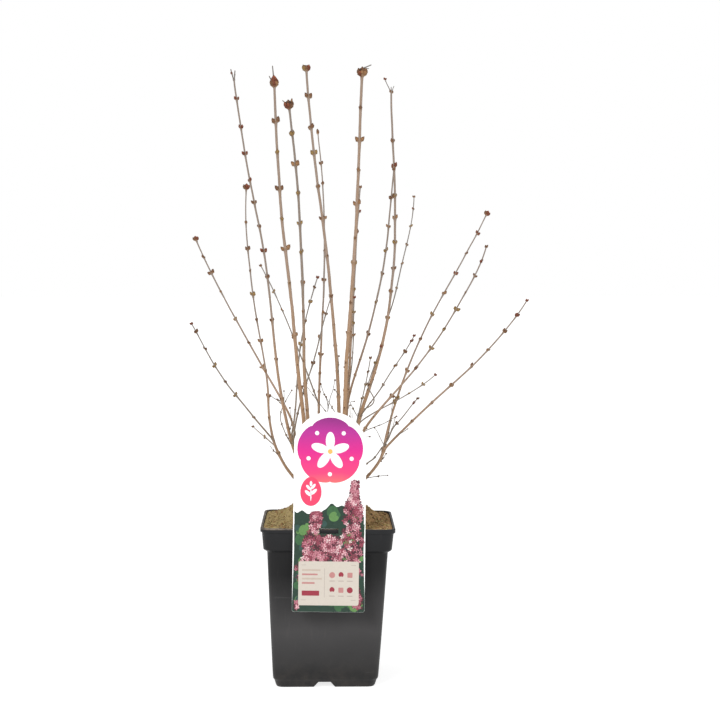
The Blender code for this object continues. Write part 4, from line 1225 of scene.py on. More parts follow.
# ============================================================================
# pot
# ============================================================================
# height, half width, corner radius, and how round that edge is
POT_OUTSIDE = [
    (0.0000, 0.0698, 0.0100, 0.0006), (0.0022, 0.0713, 0.0112, 0.0010), (0.0092, 0.0733, 0.0118, 0.0010),
    (0.0125, 0.0754, 0.0118, 0.0010), (0.0210, 0.0761, 0.0118, 0.0040), (0.1086, 0.0813, 0.0122, 0.0100),
    (0.1959, 0.0860, 0.0125, 0.0012), (0.1999, 0.0914, 0.0135, 0.0014), (0.2250, 0.0937, 0.0140, 0.0005),
    (0.2250, 0.0959, 0.0150, 0.0007), (0.2304, 0.0959, 0.0150, 0.0009), (0.2314, 0.0951, 0.0146, 0.0005),
]
POT_INSIDE = [
    (0.2314, 0.0930, 0.0132, 0.0005), (0.2308, 0.09235, 0.0126, 0.0005), (0.2010, 0.0898, 0.0120, 0.0010),
    (0.1949, 0.0843, 0.0110, 0.0010), (0.1086, 0.0797, 0.0106, 0.0060), (0.0210, 0.0745, 0.0102, 0.0030),
    (0.0140, 0.0737, 0.0102, 0.0010), (0.0092, 0.0717, 0.0102, 0.0008), (0.0022, 0.0691, 0.0100, 0.0008),
]
POT_HEIGHT = 0.2314


def askew(p):
    """The soft pot stands a little askew: its top has moved to the right, and
    its lip hangs lower on that side."""
    p = np.array(p, float)
    x, z = p[..., 0].copy(), p[..., 2].copy()
    p[..., 0] = x + 0.0164 * z
    p[..., 2] = z - 0.0140 * x * np.clip(z, 0, None) / POT_HEIGHT
    return p


CHANNEL_DEPTH, CHANNEL_HEIGHT = 0.038, 0.0078
CHANNEL_HALF_FOOT, CHANNEL_HALF_TOP, CHANNEL_SHIFT = 0.0154, 0.0087, -0.0015
WALL = 0.0016


def soft_steps(rows, gap):
    """Rounds each corner of a profile and fills its straight runs."""
    out = []
    n = len(rows)
    for k in range(n):
        here = np.array(rows[k])
        if k in (0, n - 1):
            out.append(here[:3])
            continue
        before, after = np.array(rows[k - 1][:3]), np.array(rows[k + 1][:3])
        a, b = before - here[:3], after - here[:3]
        la, lb = np.linalg.norm(a[:2]), np.linalg.norm(b[:2])
        cut = min(here[3], 0.42 * la, 0.42 * lb)
        p, q = here[:3] + a / la * cut, here[:3] + b / lb * cut
        for t in (0.0, 0.25, 0.5, 0.75, 1.0):
            out.append((1 - t) ** 2 * p + 2 * t * (1 - t) * here[:3] + t * t * q)
    full = [out[0]]
    for p in out[1:]:
        span = np.linalg.norm((p - full[-1])[:2])
        parts = max(1, int(span / gap))
        a = full[-1]
        for j in range(1, parts + 1):
            full.append(a + (p - a) * j / parts)
    return full


def square_ring(half, corner, z, steps=9, flats=12):
    points = []
    for quarter in range(4):
        turn = quarter * math.pi / 2
        cx = (half - corner) * (1 if quarter in (0, 3) else -1)
        cy = (half - corner) * (1 if quarter in (0, 1) else -1)
        for k in range(steps + 1):
            a = turn + k / steps * math.pi / 2
            points.append((cx + corner * math.cos(a), cy + corner * math.sin(a), z))
        # along the straight side to the next corner
        a = turn + math.pi / 2
        start = np.array(points[-1])
        nx = (half - corner) * (-1 if quarter in (0, 1) else 1)
        ny = (half - corner) * (1 if quarter in (0, 3) else -1)
        if quarter == 0:
            end = np.array([-(half - corner), half, z])
        elif quarter == 1:
            end = np.array([-half, -(half - corner), z])
        elif quarter == 2:
            end = np.array([half - corner, -half, z])
        else:
            end = np.array([half, half - corner, z])
        for j in range(1, flats):
            points.append(tuple(start + (end - start) * j / flats))
    return np.array(points)


def solid(name, heap):
    """A plain helper object for a cut."""
    mesh = heap.mesh(name, [])
    made = bmesh.new()
    made.from_mesh(mesh)
    bmesh.ops.recalc_face_normals(made, faces=made.faces)
    made.to_mesh(mesh)
    made.free()
    thing = bpy.data.objects.new(name, mesh)
    scene.collection.objects.link(thing)
    return thing


def loft(heap, rings):
    n = len(rings[0])
    rows = len(rings)
    points = np.concatenate(rings)
    heap.add(points, weave(rows, n))
    return n, rows


outer = [square_ring(h, r, z) for z, h, r in soft_steps(POT_OUTSIDE, 0.006)]
inner = [square_ring(h, r, z) for z, h, r in soft_steps(POT_INSIDE, 0.008)]
rings = outer + inner
# the walls are not dead flat: they give a little where the soil presses
for ring in rings:
    z = ring[:, 2]
    body = np.clip((z - 0.024) / 0.03, 0, 1) * np.clip((0.192 - z) / 0.03, 0, 1)
    r = np.hypot(ring[:, 0], ring[:, 1])
    face = np.where(np.abs(ring[:, 0]) > np.abs(ring[:, 1]), ring[:, 1], ring[:, 0])
    calm = np.cos(np.clip(face / 0.075, -1, 1) * math.pi / 2)
    wave = noise(np.stack([ring[:, 0] * 16, ring[:, 1] * 16, z * 11], -1), 21) * 0.00035 + noise(np.stack([ring[:, 0] * 48, ring[:, 1] * 48, z * 14], -1), 22) * 0.00010
    push = body * calm * (wave + 0.00035)
    ring[:, 0] *= 1 + push / np.maximum(r, 1e-6)
    ring[:, 1] *= 1 + push / np.maximum(r, 1e-6)
heap = Heap()
n, rows = loft(heap, rings)
count = rows * n
k = np.arange(n)
foot_mid, floor_mid = np.array([[0, 0, 0.0]]), np.array([[0, 0, POT_INSIDE[-1][0]]])
heap.add(foot_mid)
heap.add(floor_mid)
heap.tris.append(np.stack([np.full(n, count), (k + 1) % n, k], -1))
heap.tri_looks.append(np.zeros(n))
heap.tris.append(np.stack([np.full(n, count + 1), (rows - 1) * n + k, (rows - 1) * n + (k + 1) % n], -1))
heap.tri_looks.append(np.zeros(n))
pot = solid("pot_shell", heap)


def bar(name, quarter, out, depth, high, half_foot, half_top, grow=0.0):
    """A trapezoid bar in from one side: the channel itself, or with grow the
    housing round it, which starts in the floor and ends in the wall."""
    below = -0.0008 if grow else 0.004
    half_below = half_foot + (half_foot - half_top) * below / high
    shift = CHANNEL_SHIFT if quarter in (0, 2) else 0.0
    profile = [(-half_below - grow, -below), (half_below + grow, -below), (half_top + grow, high + grow), (-half_top - grow, high + grow)]
    c, s = math.cos(quarter * math.pi / 2), math.sin(quarter * math.pi / 2)
    points = []
    for end in (0, 1):
        for u, v in profile:
            x = u + shift
            y = -(0.0698 - depth) + grow if end else -out - (0.30 * v if grow else 0.0)
            points.append((x * c - y * s, x * s + y * c, v))
    heap = Heap()
    heap.add(points, [(0, 3, 2, 1), (4, 5, 6, 7), (0, 1, 5, 4), (1, 2, 6, 5), (2, 3, 7, 6), (3, 0, 4, 7)])
    return solid(name, heap)


def rod(name, x, y, low, high, radius, sides=28):
    a = np.arange(sides) / sides * 2 * math.pi
    ring = np.stack([x + radius * np.cos(a), y + radius * np.sin(a)], -1)
    points = [(*p, low) for p in ring] + [(*p, high) for p in ring]
    heap = Heap()
    heap.add(points, weave(2, sides))
    k = np.arange(sides)
    heap.add([(x, y, low), (x, y, high)])
    heap.tris.append(np.concatenate([np.stack([np.full(sides, 2 * sides), (k + 1) % sides, k], -1), np.stack([np.full(sides, 2 * sides + 1), sides + k, sides + (k + 1) % sides], -1)]))
    heap.tri_looks.append(np.zeros(2 * sides))
    return solid(name, heap)


def carve(thing, tools, how):
    """Applies one Boolean step for each tool."""
    for tool in tools:
        step = thing.modifiers.new(tool.name, "BOOLEAN")
        step.operation = how
        step.solver = "EXACT"
        step.object = tool
    done = bpy.data.meshes.new_from_object(thing.evaluated_get(bpy.context.evaluated_depsgraph_get()))
    thing.modifiers.clear()
    old = thing.data
    thing.data = done
    bpy.data.meshes.remove(old)
    for tool in tools:
        shape = tool.data
        bpy.data.objects.remove(tool)
        bpy.data.meshes.remove(shape)


tunnels, channels, drains = [], [], []
for quarter in range(4):
    args = (quarter, 0.0698, CHANNEL_DEPTH, CHANNEL_HEIGHT, CHANNEL_HALF_FOOT, CHANNEL_HALF_TOP, WALL)
    tunnels.append(bar(f"tunnel_{quarter}", *args))
    channels.append(bar(f"channel_{quarter}", quarter, 0.09, *args[2:6]))
    a = quarter * math.pi / 2 + math.pi / 4
    drains.append(rod(f"drain_corner_{quarter}", 0.046 * math.sqrt(2) * math.cos(a), 0.046 * math.sqrt(2) * math.sin(a), -0.003, 0.006, 0.0045))
    a = quarter * math.pi / 2
    drains.append(rod(f"drain_roof_{quarter}", 0.043 * math.cos(a), 0.043 * math.sin(a), 0.004, 0.014, 0.00405))
carve(pot, tunnels, "UNION")
carve(pot, channels + drains, "DIFFERENCE")
shell = np.empty(len(pot.data.vertices) * 3)
pot.data.vertices.foreach_get("co", shell)
pot.data.vertices.foreach_set("co", askew(shell.reshape(-1, 3)).ravel())
pot.name = "pot_fine"
pot.data.name = "pot_fine"

PLASTIC = Look("pot_plastic", (0.018, 0.018, 0.020), 0.44, 0.24)
spot = PLASTIC.place("Object")
flow = PLASTIC.place("Object", (1.0, 1.0, 0.12))
cloud = PLASTIC.noise(spot, 22.0, 4.0, 0.6)
grain = PLASTIC.noise(spot, 2600.0, 2.0, 0.5)
runs = PLASTIC.noise(flow, 130.0, 4.0, 0.6)
height = PLASTIC.node("ShaderNodeSeparateXYZ")
PLASTIC.link(spot, height.inputs[0])
# painted light by height, with a little noise: a painted reflection lightens the middle of the body, painted shade
# darkens it under the collar, and it is darker towards the foot
lift = PLASTIC.math("ADD", height.outputs["Z"], PLASTIC.range(cloud, 0.0, 1.0, -0.012, 0.012))
painted_sheen_and_shade = PLASTIC.ramp(PLASTIC.range(lift, 0.0, 0.2314), (0.0, (0.0115, 0.0112, 0.0112)), (0.09, (0.0128, 0.0124, 0.0126)), (0.16, (0.0245, 0.0236, 0.0238)),
                     (0.36, (0.0455, 0.0435, 0.0440)), (0.58, (0.0235, 0.0228, 0.0234)), (0.72, (0.0054, 0.0052, 0.0057)), (0.845, (0.0042, 0.0041, 0.0046)),
                     (0.87, (0.0072, 0.0074, 0.0083)), (1.0, (0.0098, 0.0104, 0.0120)))
tone = PLASTIC.mix(PLASTIC.range(PLASTIC.noise(spot, 9.0, 3.0, 0.5), 0.3, 0.7, 0.0, 0.24), painted_sheen_and_shade, (0.0110, 0.0108, 0.0112))
# dust that has dried on the foot and lies along the lip
dust = PLASTIC.noise(spot, 75.0, 6.0, 0.7)
foot = PLASTIC.range(height.outputs["Z"], 0.0, 0.05, 0.07, 0.0)
ledge = PLASTIC.range(height.outputs["Z"], 0.2298, 0.2312, 0.0, 0.80)
where = PLASTIC.math("MULTIPLY", PLASTIC.math("ADD", foot, ledge), PLASTIC.range(dust, 0.38, 0.66))
tone = PLASTIC.mix(where, tone, (0.230, 0.185, 0.145))
tone = PLASTIC.mix(PLASTIC.range(runs, 0.62, 0.78, 0.0, 0.07), tone, (0.14, 0.13, 0.12))
scratch = PLASTIC.noise(PLASTIC.place("Object", (1.0, 1.0, 9.0)), 38.0, 3.0, 0.5, 1.2)
tone = PLASTIC.mix(PLASTIC.range(scratch, 0.70, 0.74, 0.0, 0.12), tone, (0.12, 0.12, 0.12))
PLASTIC.colour(tone)
PLASTIC.roughness(PLASTIC.range(cloud, 0.3, 0.7, 0.38, 0.52))
PLASTIC.bump(grain, 0.00006, 0.35)
PLASTIC.bump(PLASTIC.noise(flow, 60.0, 3.0), 0.0006, 0.25)
pot.data.materials.clear()
pot.data.materials.append(PLASTIC.material)
pot.data.polygons.foreach_set("material_index", np.zeros(len(pot.data.polygons), np.int32))
pot.data.shade_smooth()
pot.data.set_sharp_from_angle(angle=math.radians(38))
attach(pot, "root")
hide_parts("pot")


# ============================================================================
# soil
# ============================================================================
SOIL_EDGE, SOIL_DOME = 0.2300, 0.0022
MOUND_CENTRE, MOUND_HEIGHT, MOUND_FLAT, MOUND_FOOT = (0.001, 0.012), 0.0179, 0.049, 0.080


def soil_height(x, y):
    """The plain surface, the same as the solid's."""
    x, y = np.asarray(x, float), np.asarray(y, float)
    flat = SOIL_DOME * (1 - (x / 0.093) ** 2) * (1 - (y / 0.093) ** 2)
    away = np.hypot(x - MOUND_CENTRE[0], y - MOUND_CENTRE[1])
    t = np.clip((MOUND_FOOT - away) / (MOUND_FOOT - MOUND_FLAT), 0, 1)
    heap = MOUND_HEIGHT * t * t * (3 - 2 * t)
    rough = 0.0009 * (np.sin(61 * x + 1.3) * np.cos(73 * y - 0.4) + 0.7 * np.sin(127 * x - 88 * y + 2.1))
    fade = np.clip((0.0914 - np.maximum(np.abs(x), np.abs(y))) / 0.02, 0, 1)
    return SOIL_EDGE + flat + heap + rough * fade


def soft(value, low, high):
    t = np.clip((value - low) / (high - low), 0, 1)
    return t * t * (3 - 2 * t)


def soil_skin(x, y):
    """The surface with its clods, pits and crumbs."""
    p = np.stack([x, y, np.zeros_like(x)], -1)
    clod = noise(p * 95, 31) * 0.0016 + noise(p * 210, 32) * 0.0011
    crumb = layers(p * 520, 33, 3, 0.6) * 0.0011
    pit = -0.0020 * np.exp(-((noise(p * 120, 35) + 0.55) / 0.22) ** 2)
    wall = np.clip((0.0915 - np.maximum(np.abs(x), np.abs(y))) / 0.010, 0, 1)
    # it has drawn away a little from the wall, least in front, most at the back
    edge = 0.0924 - np.maximum(np.abs(x), np.abs(y))
    back = np.clip((y + 0.05) / 0.12, 0, 1)
    sink = -(0.0004 + 0.0011 * back) * np.exp(-(edge / 0.0040) ** 2) * (0.7 + 0.6 * noise(p * 60, 36))
    left = np.clip((y - 0.035) / 0.045, 0, 1) * np.clip((-x - 0.030) / 0.040, 0, 1)
    right = np.clip((y - 0.045) / 0.040, 0, 1) * np.clip((x - 0.040) / 0.040, 0, 1)
    # heaped up against the back, more on the left than on the right
    mound = soft(MOUND_FOOT - np.hypot(x - MOUND_CENTRE[0], y - MOUND_CENTRE[1]), 0.0, MOUND_FOOT - MOUND_FLAT)
    heaped = np.where(x < 0, 0.0056, 0.0036) * (1 - 0.75 * mound) * soft(y, -0.030, 0.055) * soft(0.0905 - np.abs(x), 0.0, 0.019) * soft(0.0915 - y, 0.0, 0.020)
    return soil_height(x, y) + (clod + crumb + pit) * (0.30 + 0.70 * wall) + sink + heaped - 0.0004 * left - 0.0006 * right


edge_t = (SOIL_EDGE - 0.2010) / (0.2325 - 0.2010)
edge_half = 0.0898 + (0.0924 - 0.0898) * edge_t - 0.0003
edge_round = 0.0120 + 0.0006 * edge_t - 0.0003
heap = Heap()
outline = square_ring(edge_half, edge_round, 0.0, 16, 58)
n = len(outline)
rows = []
steps = 120
for k in range(steps):
    s = 1 - k / steps
    mix = min(1.0, (k / steps) ** 0.8)
    a = np.arctan2(outline[:, 1], outline[:, 0])
    r = edge_half * 1.02
    x = (outline[:, 0] * (1 - mix) + r * np.cos(a) * mix) * s
    y = (outline[:, 1] * (1 - mix) + r * np.sin(a) * mix) * s
    rows.append(np.stack([x, y, soil_skin(x, y)], -1))
# down the walls to a flat bottom above the drain channels
down = []
for z, h, r in ((0.0148, 0.0733, 0.0100), (0.0210, 0.0741, 0.0100), (0.1086, 0.0793, 0.0104), (0.1949, 0.0839, 0.0108), (0.2010, 0.0894, 0.0118), (0.2240, 0.0911, 0.0120)):
    down.append(square_ring(h, r, z, 16, 58))
loft(heap, [askew(ring) for ring in down + rows])
count = heap.count
total = len(down) + len(rows)
k = np.arange(n)
heap.add(askew([(0, 0, 0.0148), (0.0, 0.0, float(soil_skin(np.array([0.0]), np.array([0.0]))[0]))]))
heap.tris.append(np.stack([np.full(n, count), (k + 1) % n, k], -1))
heap.tri_looks.append(np.zeros(n))
heap.tris.append(np.stack([np.full(n, count + 1), (total - 1) * n + k, (total - 1) * n + (k + 1) % n], -1))
heap.tri_looks.append(np.zeros(n))

PEAT = Look("peat", (0.16, 0.11, 0.06), 0.95, 0.2)
spot = PEAT.place("Object")
xyz = PEAT.node("ShaderNodeSeparateXYZ")
PEAT.link(spot, xyz.inputs[0])
side = PEAT.range(PEAT.math("ADD", xyz.outputs["X"], PEAT.range(PEAT.noise(spot, 30.0, 3.0), 0.0, 1.0, -0.04, 0.04)), -0.03, 0.05, smooth=True)
khaki = PEAT.mix(PEAT.range(PEAT.noise(spot, 420.0, 5.0, 0.7), 0.3, 0.7), (0.240, 0.175, 0.072), (0.470, 0.365, 0.175))
ochre = PEAT.mix(PEAT.range(PEAT.noise(spot, 420.0, 5.0, 0.7), 0.3, 0.7), (0.200, 0.110, 0.044), (0.470, 0.300, 0.140))
base = PEAT.mix(side, khaki, ochre)
moss = PEAT.noise(spot, 85.0, 4.0, 0.6)
base = PEAT.mix(PEAT.range(moss, 0.54, 0.66, 0.0, 0.45), base, (0.270, 0.235, 0.070))
specks = PEAT.noise(spot, 900.0, 3.0, 0.6)
base = PEAT.mix(PEAT.range(specks, 0.58, 0.68, 0.0, 0.75), base, (0.060, 0.034, 0.015))
dark = PEAT.noise(spot, 160.0, 3.0, 0.55)
base = PEAT.mix(PEAT.range(dark, 0.62, 0.74, 0.0, 0.5), base, (0.090, 0.055, 0.024))
PEAT.colour(base)
PEAT.roughness(0.95)
PEAT.bump(PEAT.noise(spot, 1100.0, 5.0, 0.7), 0.0009, 0.9)
heap.piece("soil_bed", [PEAT], "soil", ["soil"], smooth=180)

# crumbs, chips, fibres and moss on the surface
CRUMBS, CHIPS, FIBRES, MOSS = Heap(), Heap(), Heap(), Heap()
dice = np.random.default_rng(57)
gold = (1 + 5**0.5) / 2
ico = np.array([(-1, gold, 0), (1, gold, 0), (-1, -gold, 0), (1, -gold, 0), (0, -1, gold), (0, 1, gold),
                (0, -1, -gold), (0, 1, -gold), (gold, 0, -1), (gold, 0, 1), (-gold, 0, -1), (-gold, 0, 1)], float)
ico /= np.linalg.norm(ico[0])
ico_tris = np.array([(0, 11, 5), (0, 5, 1), (0, 1, 7), (0, 7, 10), (0, 10, 11), (1, 5, 9), (5, 11, 4), (11, 10, 2), (10, 7, 6), (7, 1, 8),
                     (3, 9, 4), (3, 4, 2), (3, 2, 6), (3, 6, 8), (3, 8, 9), (4, 9, 5), (2, 4, 11), (6, 2, 10), (8, 6, 7), (9, 8, 1)])


def finer(points, tris):
    """Each triangle in four, pushed out to the ball."""
    points, made, seen = [p for p in points], [], {}

    def middle(a, b):
        key = (min(a, b), max(a, b))
        if key not in seen:
            seen[key] = len(points)
            points.append(unit(points[a] + points[b]))
        return seen[key]

    for a, b, c in tris:
        ab, bc, ca = middle(a, b), middle(b, c), middle(c, a)
        made += [(a, ab, ca), (b, bc, ab), (c, ca, bc), (ab, bc, ca)]
    return np.array(points), np.array(made)


ball, ball_tris = finer(ico, ico_tris)


def spin(rng):
    """A random turn as a 3 by 3 matrix."""
    q = unit(rng.normal(size=4))
    w, x, y, z = q
    return np.array([[1 - 2 * (y * y + z * z), 2 * (x * y - z * w), 2 * (x * z + y * w)],
                     [2 * (x * y + z * w), 1 - 2 * (x * x + z * z), 2 * (y * z - x * w)],
                     [2 * (x * z - y * w), 2 * (y * z + x * w), 1 - 2 * (x * x + y * y)]])


def on_soil(rng, margin=0.0035):
    lim = edge_half - margin
    while True:
        x, y = rng.uniform(-lim, lim, 2)
        cx, cy = max(0.0, abs(x) - (lim - edge_round)), max(0.0, abs(y) - (lim - edge_round))
        if math.hypot(cx, cy) <= edge_round:
            return x, y, float(soil_skin(np.array([x]), np.array([y]))[0])


for index in range(2600):
    x, y, z = on_soil(dice)
    big = index < 420
    size = dice.uniform(0.9, 2.2) * MM if big else dice.uniform(0.35, 1.0) * MM
    pts, faces = (ball, ball_tris) if big else (ico, ico_tris)
    shape = pts * (1 + 0.34 * noise(pts * 1.9 + index * 3.7, 61)[:, None])
    shape = shape * np.array([1.0, dice.uniform(0.6, 1.0), dice.uniform(0.5, 0.85)]) * size
    shape = shape @ spin(dice).T
    CRUMBS.add(askew(shape + np.array([x, y, z + size * 0.15])), None, faces, 0, int(dice.choice([0, 1, 2], p=[0.45, 0.35, 0.20])))
for index in range(210):
    x, y, z = on_soil(dice, 0.006)
    long, wide, thick = dice.uniform(2.0, 6.0) * MM, dice.uniform(0.8, 2.0) * MM, dice.uniform(0.25, 0.6) * MM
    outline2 = np.array([(-1, -0.6), (-0.3, -1), (0.8, -0.8), (1.1, 0.1), (0.5, 0.9), (-0.6, 1.0), (-1.1, 0.3)])
    outline2 = outline2 * (1 + 0.2 * dice.uniform(-1, 1, outline2.shape))
    m = len(outline2)
    low = np.concatenate([outline2 * np.array([long, wide]) / 2, np.full((m, 1), -thick / 2)], 1)
    high = low * np.array([0.92, 0.9, -1])
    k = np.arange(m)
    nxt = (k + 1) % m
    points = np.concatenate([low, high, [[0, 0, -thick / 2], [0, 0, thick * 0.6]]])
    tris = np.concatenate([np.stack([np.full(m, 2 * m), nxt, k], -1), np.stack([np.full(m, 2 * m + 1), m + k, m + nxt], -1)])
    turn = dice.uniform(0, 2 * math.pi)
    c, s = math.cos(turn), math.sin(turn)
    flat = np.array([[c, -s, 0], [s, c, 0], [0, 0, 1]])
    tip = math.radians(dice.uniform(-24, 24))
    lean = np.array([[1, 0, 0], [0, math.cos(tip), -math.sin(tip)], [0, math.sin(tip), math.cos(tip)]])
    CHIPS.add(askew(points @ lean.T @ flat.T + np.array([x, y, z + 0.0004])), weave(2, m), tris, int(index % 3), int(index % 3))
for index in range(1150):
    x, y, z = on_soil(dice, 0.007)
    long = dice.uniform(3.0, 11.0) * MM
    heading = dice.uniform(0, 2 * math.pi)
    curl = dice.uniform(-1.6, 1.6)
    arch = dice.uniform(0.2, 1.6) * MM
    m = 7
    line = []
    px, py, h = x, y, heading
    for j in range(m):
        u = j / (m - 1)
        ok = max(abs(px), abs(py)) < edge_half - 0.0025
        if not ok:
            break
        line.append((px, py, float(soil_skin(np.array([px]), np.array([py]))[0]) + 0.0003 + arch * math.sin(math.pi * u)))
        px += math.cos(h) * long / m
        py += math.sin(h) * long / m
        h += curl / m
    if len(line) < 3:
        continue
    line = np.array(line)
    line[:, 2] = (line[:, 2] + np.convolve(line[:, 2], np.ones(3) / 3, "same")) / 2 if len(line) > 4 else line[:, 2]
    line[0, 2], line[-1, 2] = line[1, 2] - 0.0004, line[-2, 2] - 0.0004
    r = dice.uniform(0.07, 0.20) * MM
    t = np.gradient(line, axis=0)
    t /= np.linalg.norm(t, axis=1)[:, None]
    sd = np.cross(t, [0, 0, 1.0])
    sd /= np.maximum(1e-9, np.linalg.norm(sd, axis=1))[:, None]
    upv = np.cross(sd, t)
    ang = np.arange(4) / 4 * 2 * math.pi
    width = r * np.sin(np.pi * (0.12 + 0.76 * np.linspace(0, 1, len(line))))[:, None, None]
    pts = line[:, None, :] + width * (np.cos(ang)[None, :, None] * sd[:, None, :] + np.sin(ang)[None, :, None] * upv[:, None, :])
    q = weave(len(line), 4)
    last = (len(line) - 1) * 4
    FIBRES.add(askew(pts.reshape(-1, 3)), np.concatenate([q, [[0, 1, 2, 3][::-1]], [[last, last + 1, last + 2, last + 3]]]), None, int(dice.integers(0, 3)))
for index in range(900):
    x, y, z = on_soil(dice, 0.006)
    if noise(np.array([[x * 42, y * 42, 4.0]]), 71)[0] < (0.05 if x < 0 else 0.22):
        continue
    for blade in range(5):
        a = dice.uniform(0, 2 * math.pi)
        lean = dice.uniform(0.2, 1.1)
        tall = dice.uniform(0.9, 2.1) * MM
        out = np.array([math.cos(a), math.sin(a), 0.0])
        across = np.array([-math.sin(a), math.cos(a), 0.0]) * tall * 0.16
        foot = np.array([x, y, z - 0.0002]) + out * dice.uniform(0, 0.8) * MM
        midp = foot + out * tall * lean * 0.35 + np.array([0, 0, tall * 0.55])
        top = foot + out * tall * lean * 0.9 + np.array([0, 0, tall * 0.95])
        back = out * tall * 0.10
        pts = np.array([foot - across * 0.7, foot + across * 0.7, midp + across, midp - across, top,
                        foot - back, midp - back])
        MOSS.add(askew(pts), None, [(0, 1, 2), (0, 2, 3), (3, 2, 4), (1, 5, 6), (1, 6, 2), (5, 0, 3), (5, 3, 6), (2, 6, 4), (6, 3, 4)], 0, int(dice.integers(0, 2)))


def grit(name, colour, scale=900.0):
    look = Look(name, colour, 0.93, 0.2)
    g = look.noise(look.place("Object"), scale, 4.0, 0.65)
    look.colour(look.mix(look.range(g, 0.3, 0.72), tuple(c * 0.6 for c in colour), tuple(min(1, c * 1.35) for c in colour)))
    look.bump(g, 0.0003, 0.7)
    return look


CRUMBS.piece("soil_crumbs", [grit("crumb_khaki", (0.360, 0.275, 0.130)), grit("crumb_brown", (0.270, 0.160, 0.070)), grit("crumb_dark", (0.090, 0.054, 0.026))], "soil", smooth=50)
CHIPS.piece("bark_chips", [grit("chip_tan", (0.400, 0.280, 0.160)), grit("chip_brown", (0.200, 0.115, 0.055)), grit("chip_dark", (0.080, 0.048, 0.026))], "soil", smooth=30)
FIBRES.piece("peat_fibres", [grit("fibre_pale", (0.480, 0.370, 0.215)), grit("fibre_red", (0.320, 0.165, 0.070)), grit("fibre_brown", (0.175, 0.105, 0.050))], "soil", smooth=60)
MOSS.piece("moss_tufts", [grit("moss_green", (0.230, 0.215, 0.062)), grit("moss_gold", (0.360, 0.290, 0.095))], "soil", smooth=60)


# ============================================================================
# tag
# ============================================================================
TAG_WIDTH, TAG_ABOVE, TAG_BELOW, TAG_ARCH, TAG_THICK = 0.1020, 0.1682, 0.1132, 0.0525, 0.0006
TAG_TILT = math.radians(7.0)
TAG_ROLL = math.radians(0.8)
TAG_PLACE = (0.0055, -0.0972, 0.2289)
SLOT = (0.0130, 0.0036)


def on_tag(u, w, out=0.0):
    """World place of points of the card; out is away from the pot. The card
    bows a little, so its long edges stand back."""
    u, w, out = np.broadcast_arrays(np.asarray(u, float), np.asarray(w, float), np.asarray(out, float))
    c, s = math.cos(TAG_TILT), math.sin(TAG_TILT)
    x0, y0, z0 = TAG_PLACE
    u, w = u * math.cos(TAG_ROLL) + w * math.sin(TAG_ROLL), w * math.cos(TAG_ROLL) - u * math.sin(TAG_ROLL)
    free = np.clip(np.abs(w) / 0.03, 0, 1)
    lift = out - 0.0009 * (u / 0.051) ** 2 * np.where(w > 0, free, 0.25 * free) + 0.0012 * np.clip((w - 0.05) / 0.11, 0, 1) ** 2
    return np.stack([x0 + u, y0 + w * s - lift * c, z0 + w * c + lift * s], -1)


def arch_outline(inset=0.0, low=None):
    """The card's edge, inset, anticlockwise from its lower left corner."""
    half = TAG_WIDTH / 2 - inset
    radius = TAG_ARCH - inset
    centre = TAG_ABOVE - TAG_ARCH
    foot = (-TAG_BELOW + inset) if low is None else low
    start = math.acos(min(1.0, half / radius))
    r = 0.003
    points = []
    for cx, cy, a0 in ((-half + r, foot + r, math.pi), (half - r, foot + r, 1.5 * math.pi)):
        for k in range(6):
            a = a0 + k / 5 * math.pi / 2
            points.append((cx + r * math.cos(a), cy + r * math.sin(a)))
    for k in range(49):
        a = start + (math.pi - 2 * start) * k / 48
        points.append((radius * math.cos(a), centre + radius * math.sin(a)))
    return np.array(points)


def inside(points, loop):
    """Which points lie in a closed loop."""
    x, y = points[:, 0][:, None], points[:, 1][:, None]
    a, b = loop, np.roll(loop, -1, axis=0)
    cross = (a[:, 1] > y) != (b[:, 1] > y)
    with np.errstate(divide="ignore", invalid="ignore"):
        at = (b[:, 0] - a[:, 0]) * (y - a[:, 1]) / (b[:, 1] - a[:, 1]) + a[:, 0]
    return (np.sum(cross & (x < at), axis=1) % 2) == 1


def fill(loop, holes=(), gap=0.004):
    """Triangles over a closed loop less its holes, with a grid of points
    inside, so that the sheet can bend."""
    low, high = loop.min(0), loop.max(0)
    xs, ys = np.arange(low[0] + gap / 2, high[0], gap), np.arange(low[1] + gap / 2, high[1], gap)
    grid = np.stack(np.meshgrid(xs, ys), -1).reshape(-1, 2)
    if len(grid):
        keep = inside(grid, loop)
        for hole in holes:
            keep &= ~inside(grid, hole)
        grid = grid[keep]
        edge = np.concatenate([loop, *holes]) if holes else loop
        if len(grid):
            near = np.linalg.norm(grid[:, None, :] - edge[None, :, :], axis=2).min(1)
            grid = grid[near > gap * 0.3]
    points = [tuple(p) for p in loop]
    edges = [(k, (k + 1) % len(loop)) for k in range(len(loop))]
    for hole in holes:
        start = len(points)
        points += [tuple(p) for p in hole]
        edges += [(start + k, start + (k + 1) % len(hole)) for k in range(len(hole))]
    points += [tuple(p) for p in grid]
    verts, _, faces, _, _, _ = delaunay_2d_cdt([Vector(p) for p in points], edges, [], 1, 1e-7)
    verts = np.array([tuple(v) for v in verts])
    faces = np.array([tuple(f) for f in faces if len(f) == 3])
    middle = verts[faces].mean(1)
    keep = np.ones(len(faces), bool)
    for hole in holes:
        keep &= ~inside(middle, hole)
    keep &= inside(middle, loop)
    return verts, faces[keep]


def slot_loop(grow=0.0):
    a, b = SLOT[0] + grow, SLOT[1] + grow
    return np.array([(-a, -b), (a, -b), (a, b), (-a, b)])


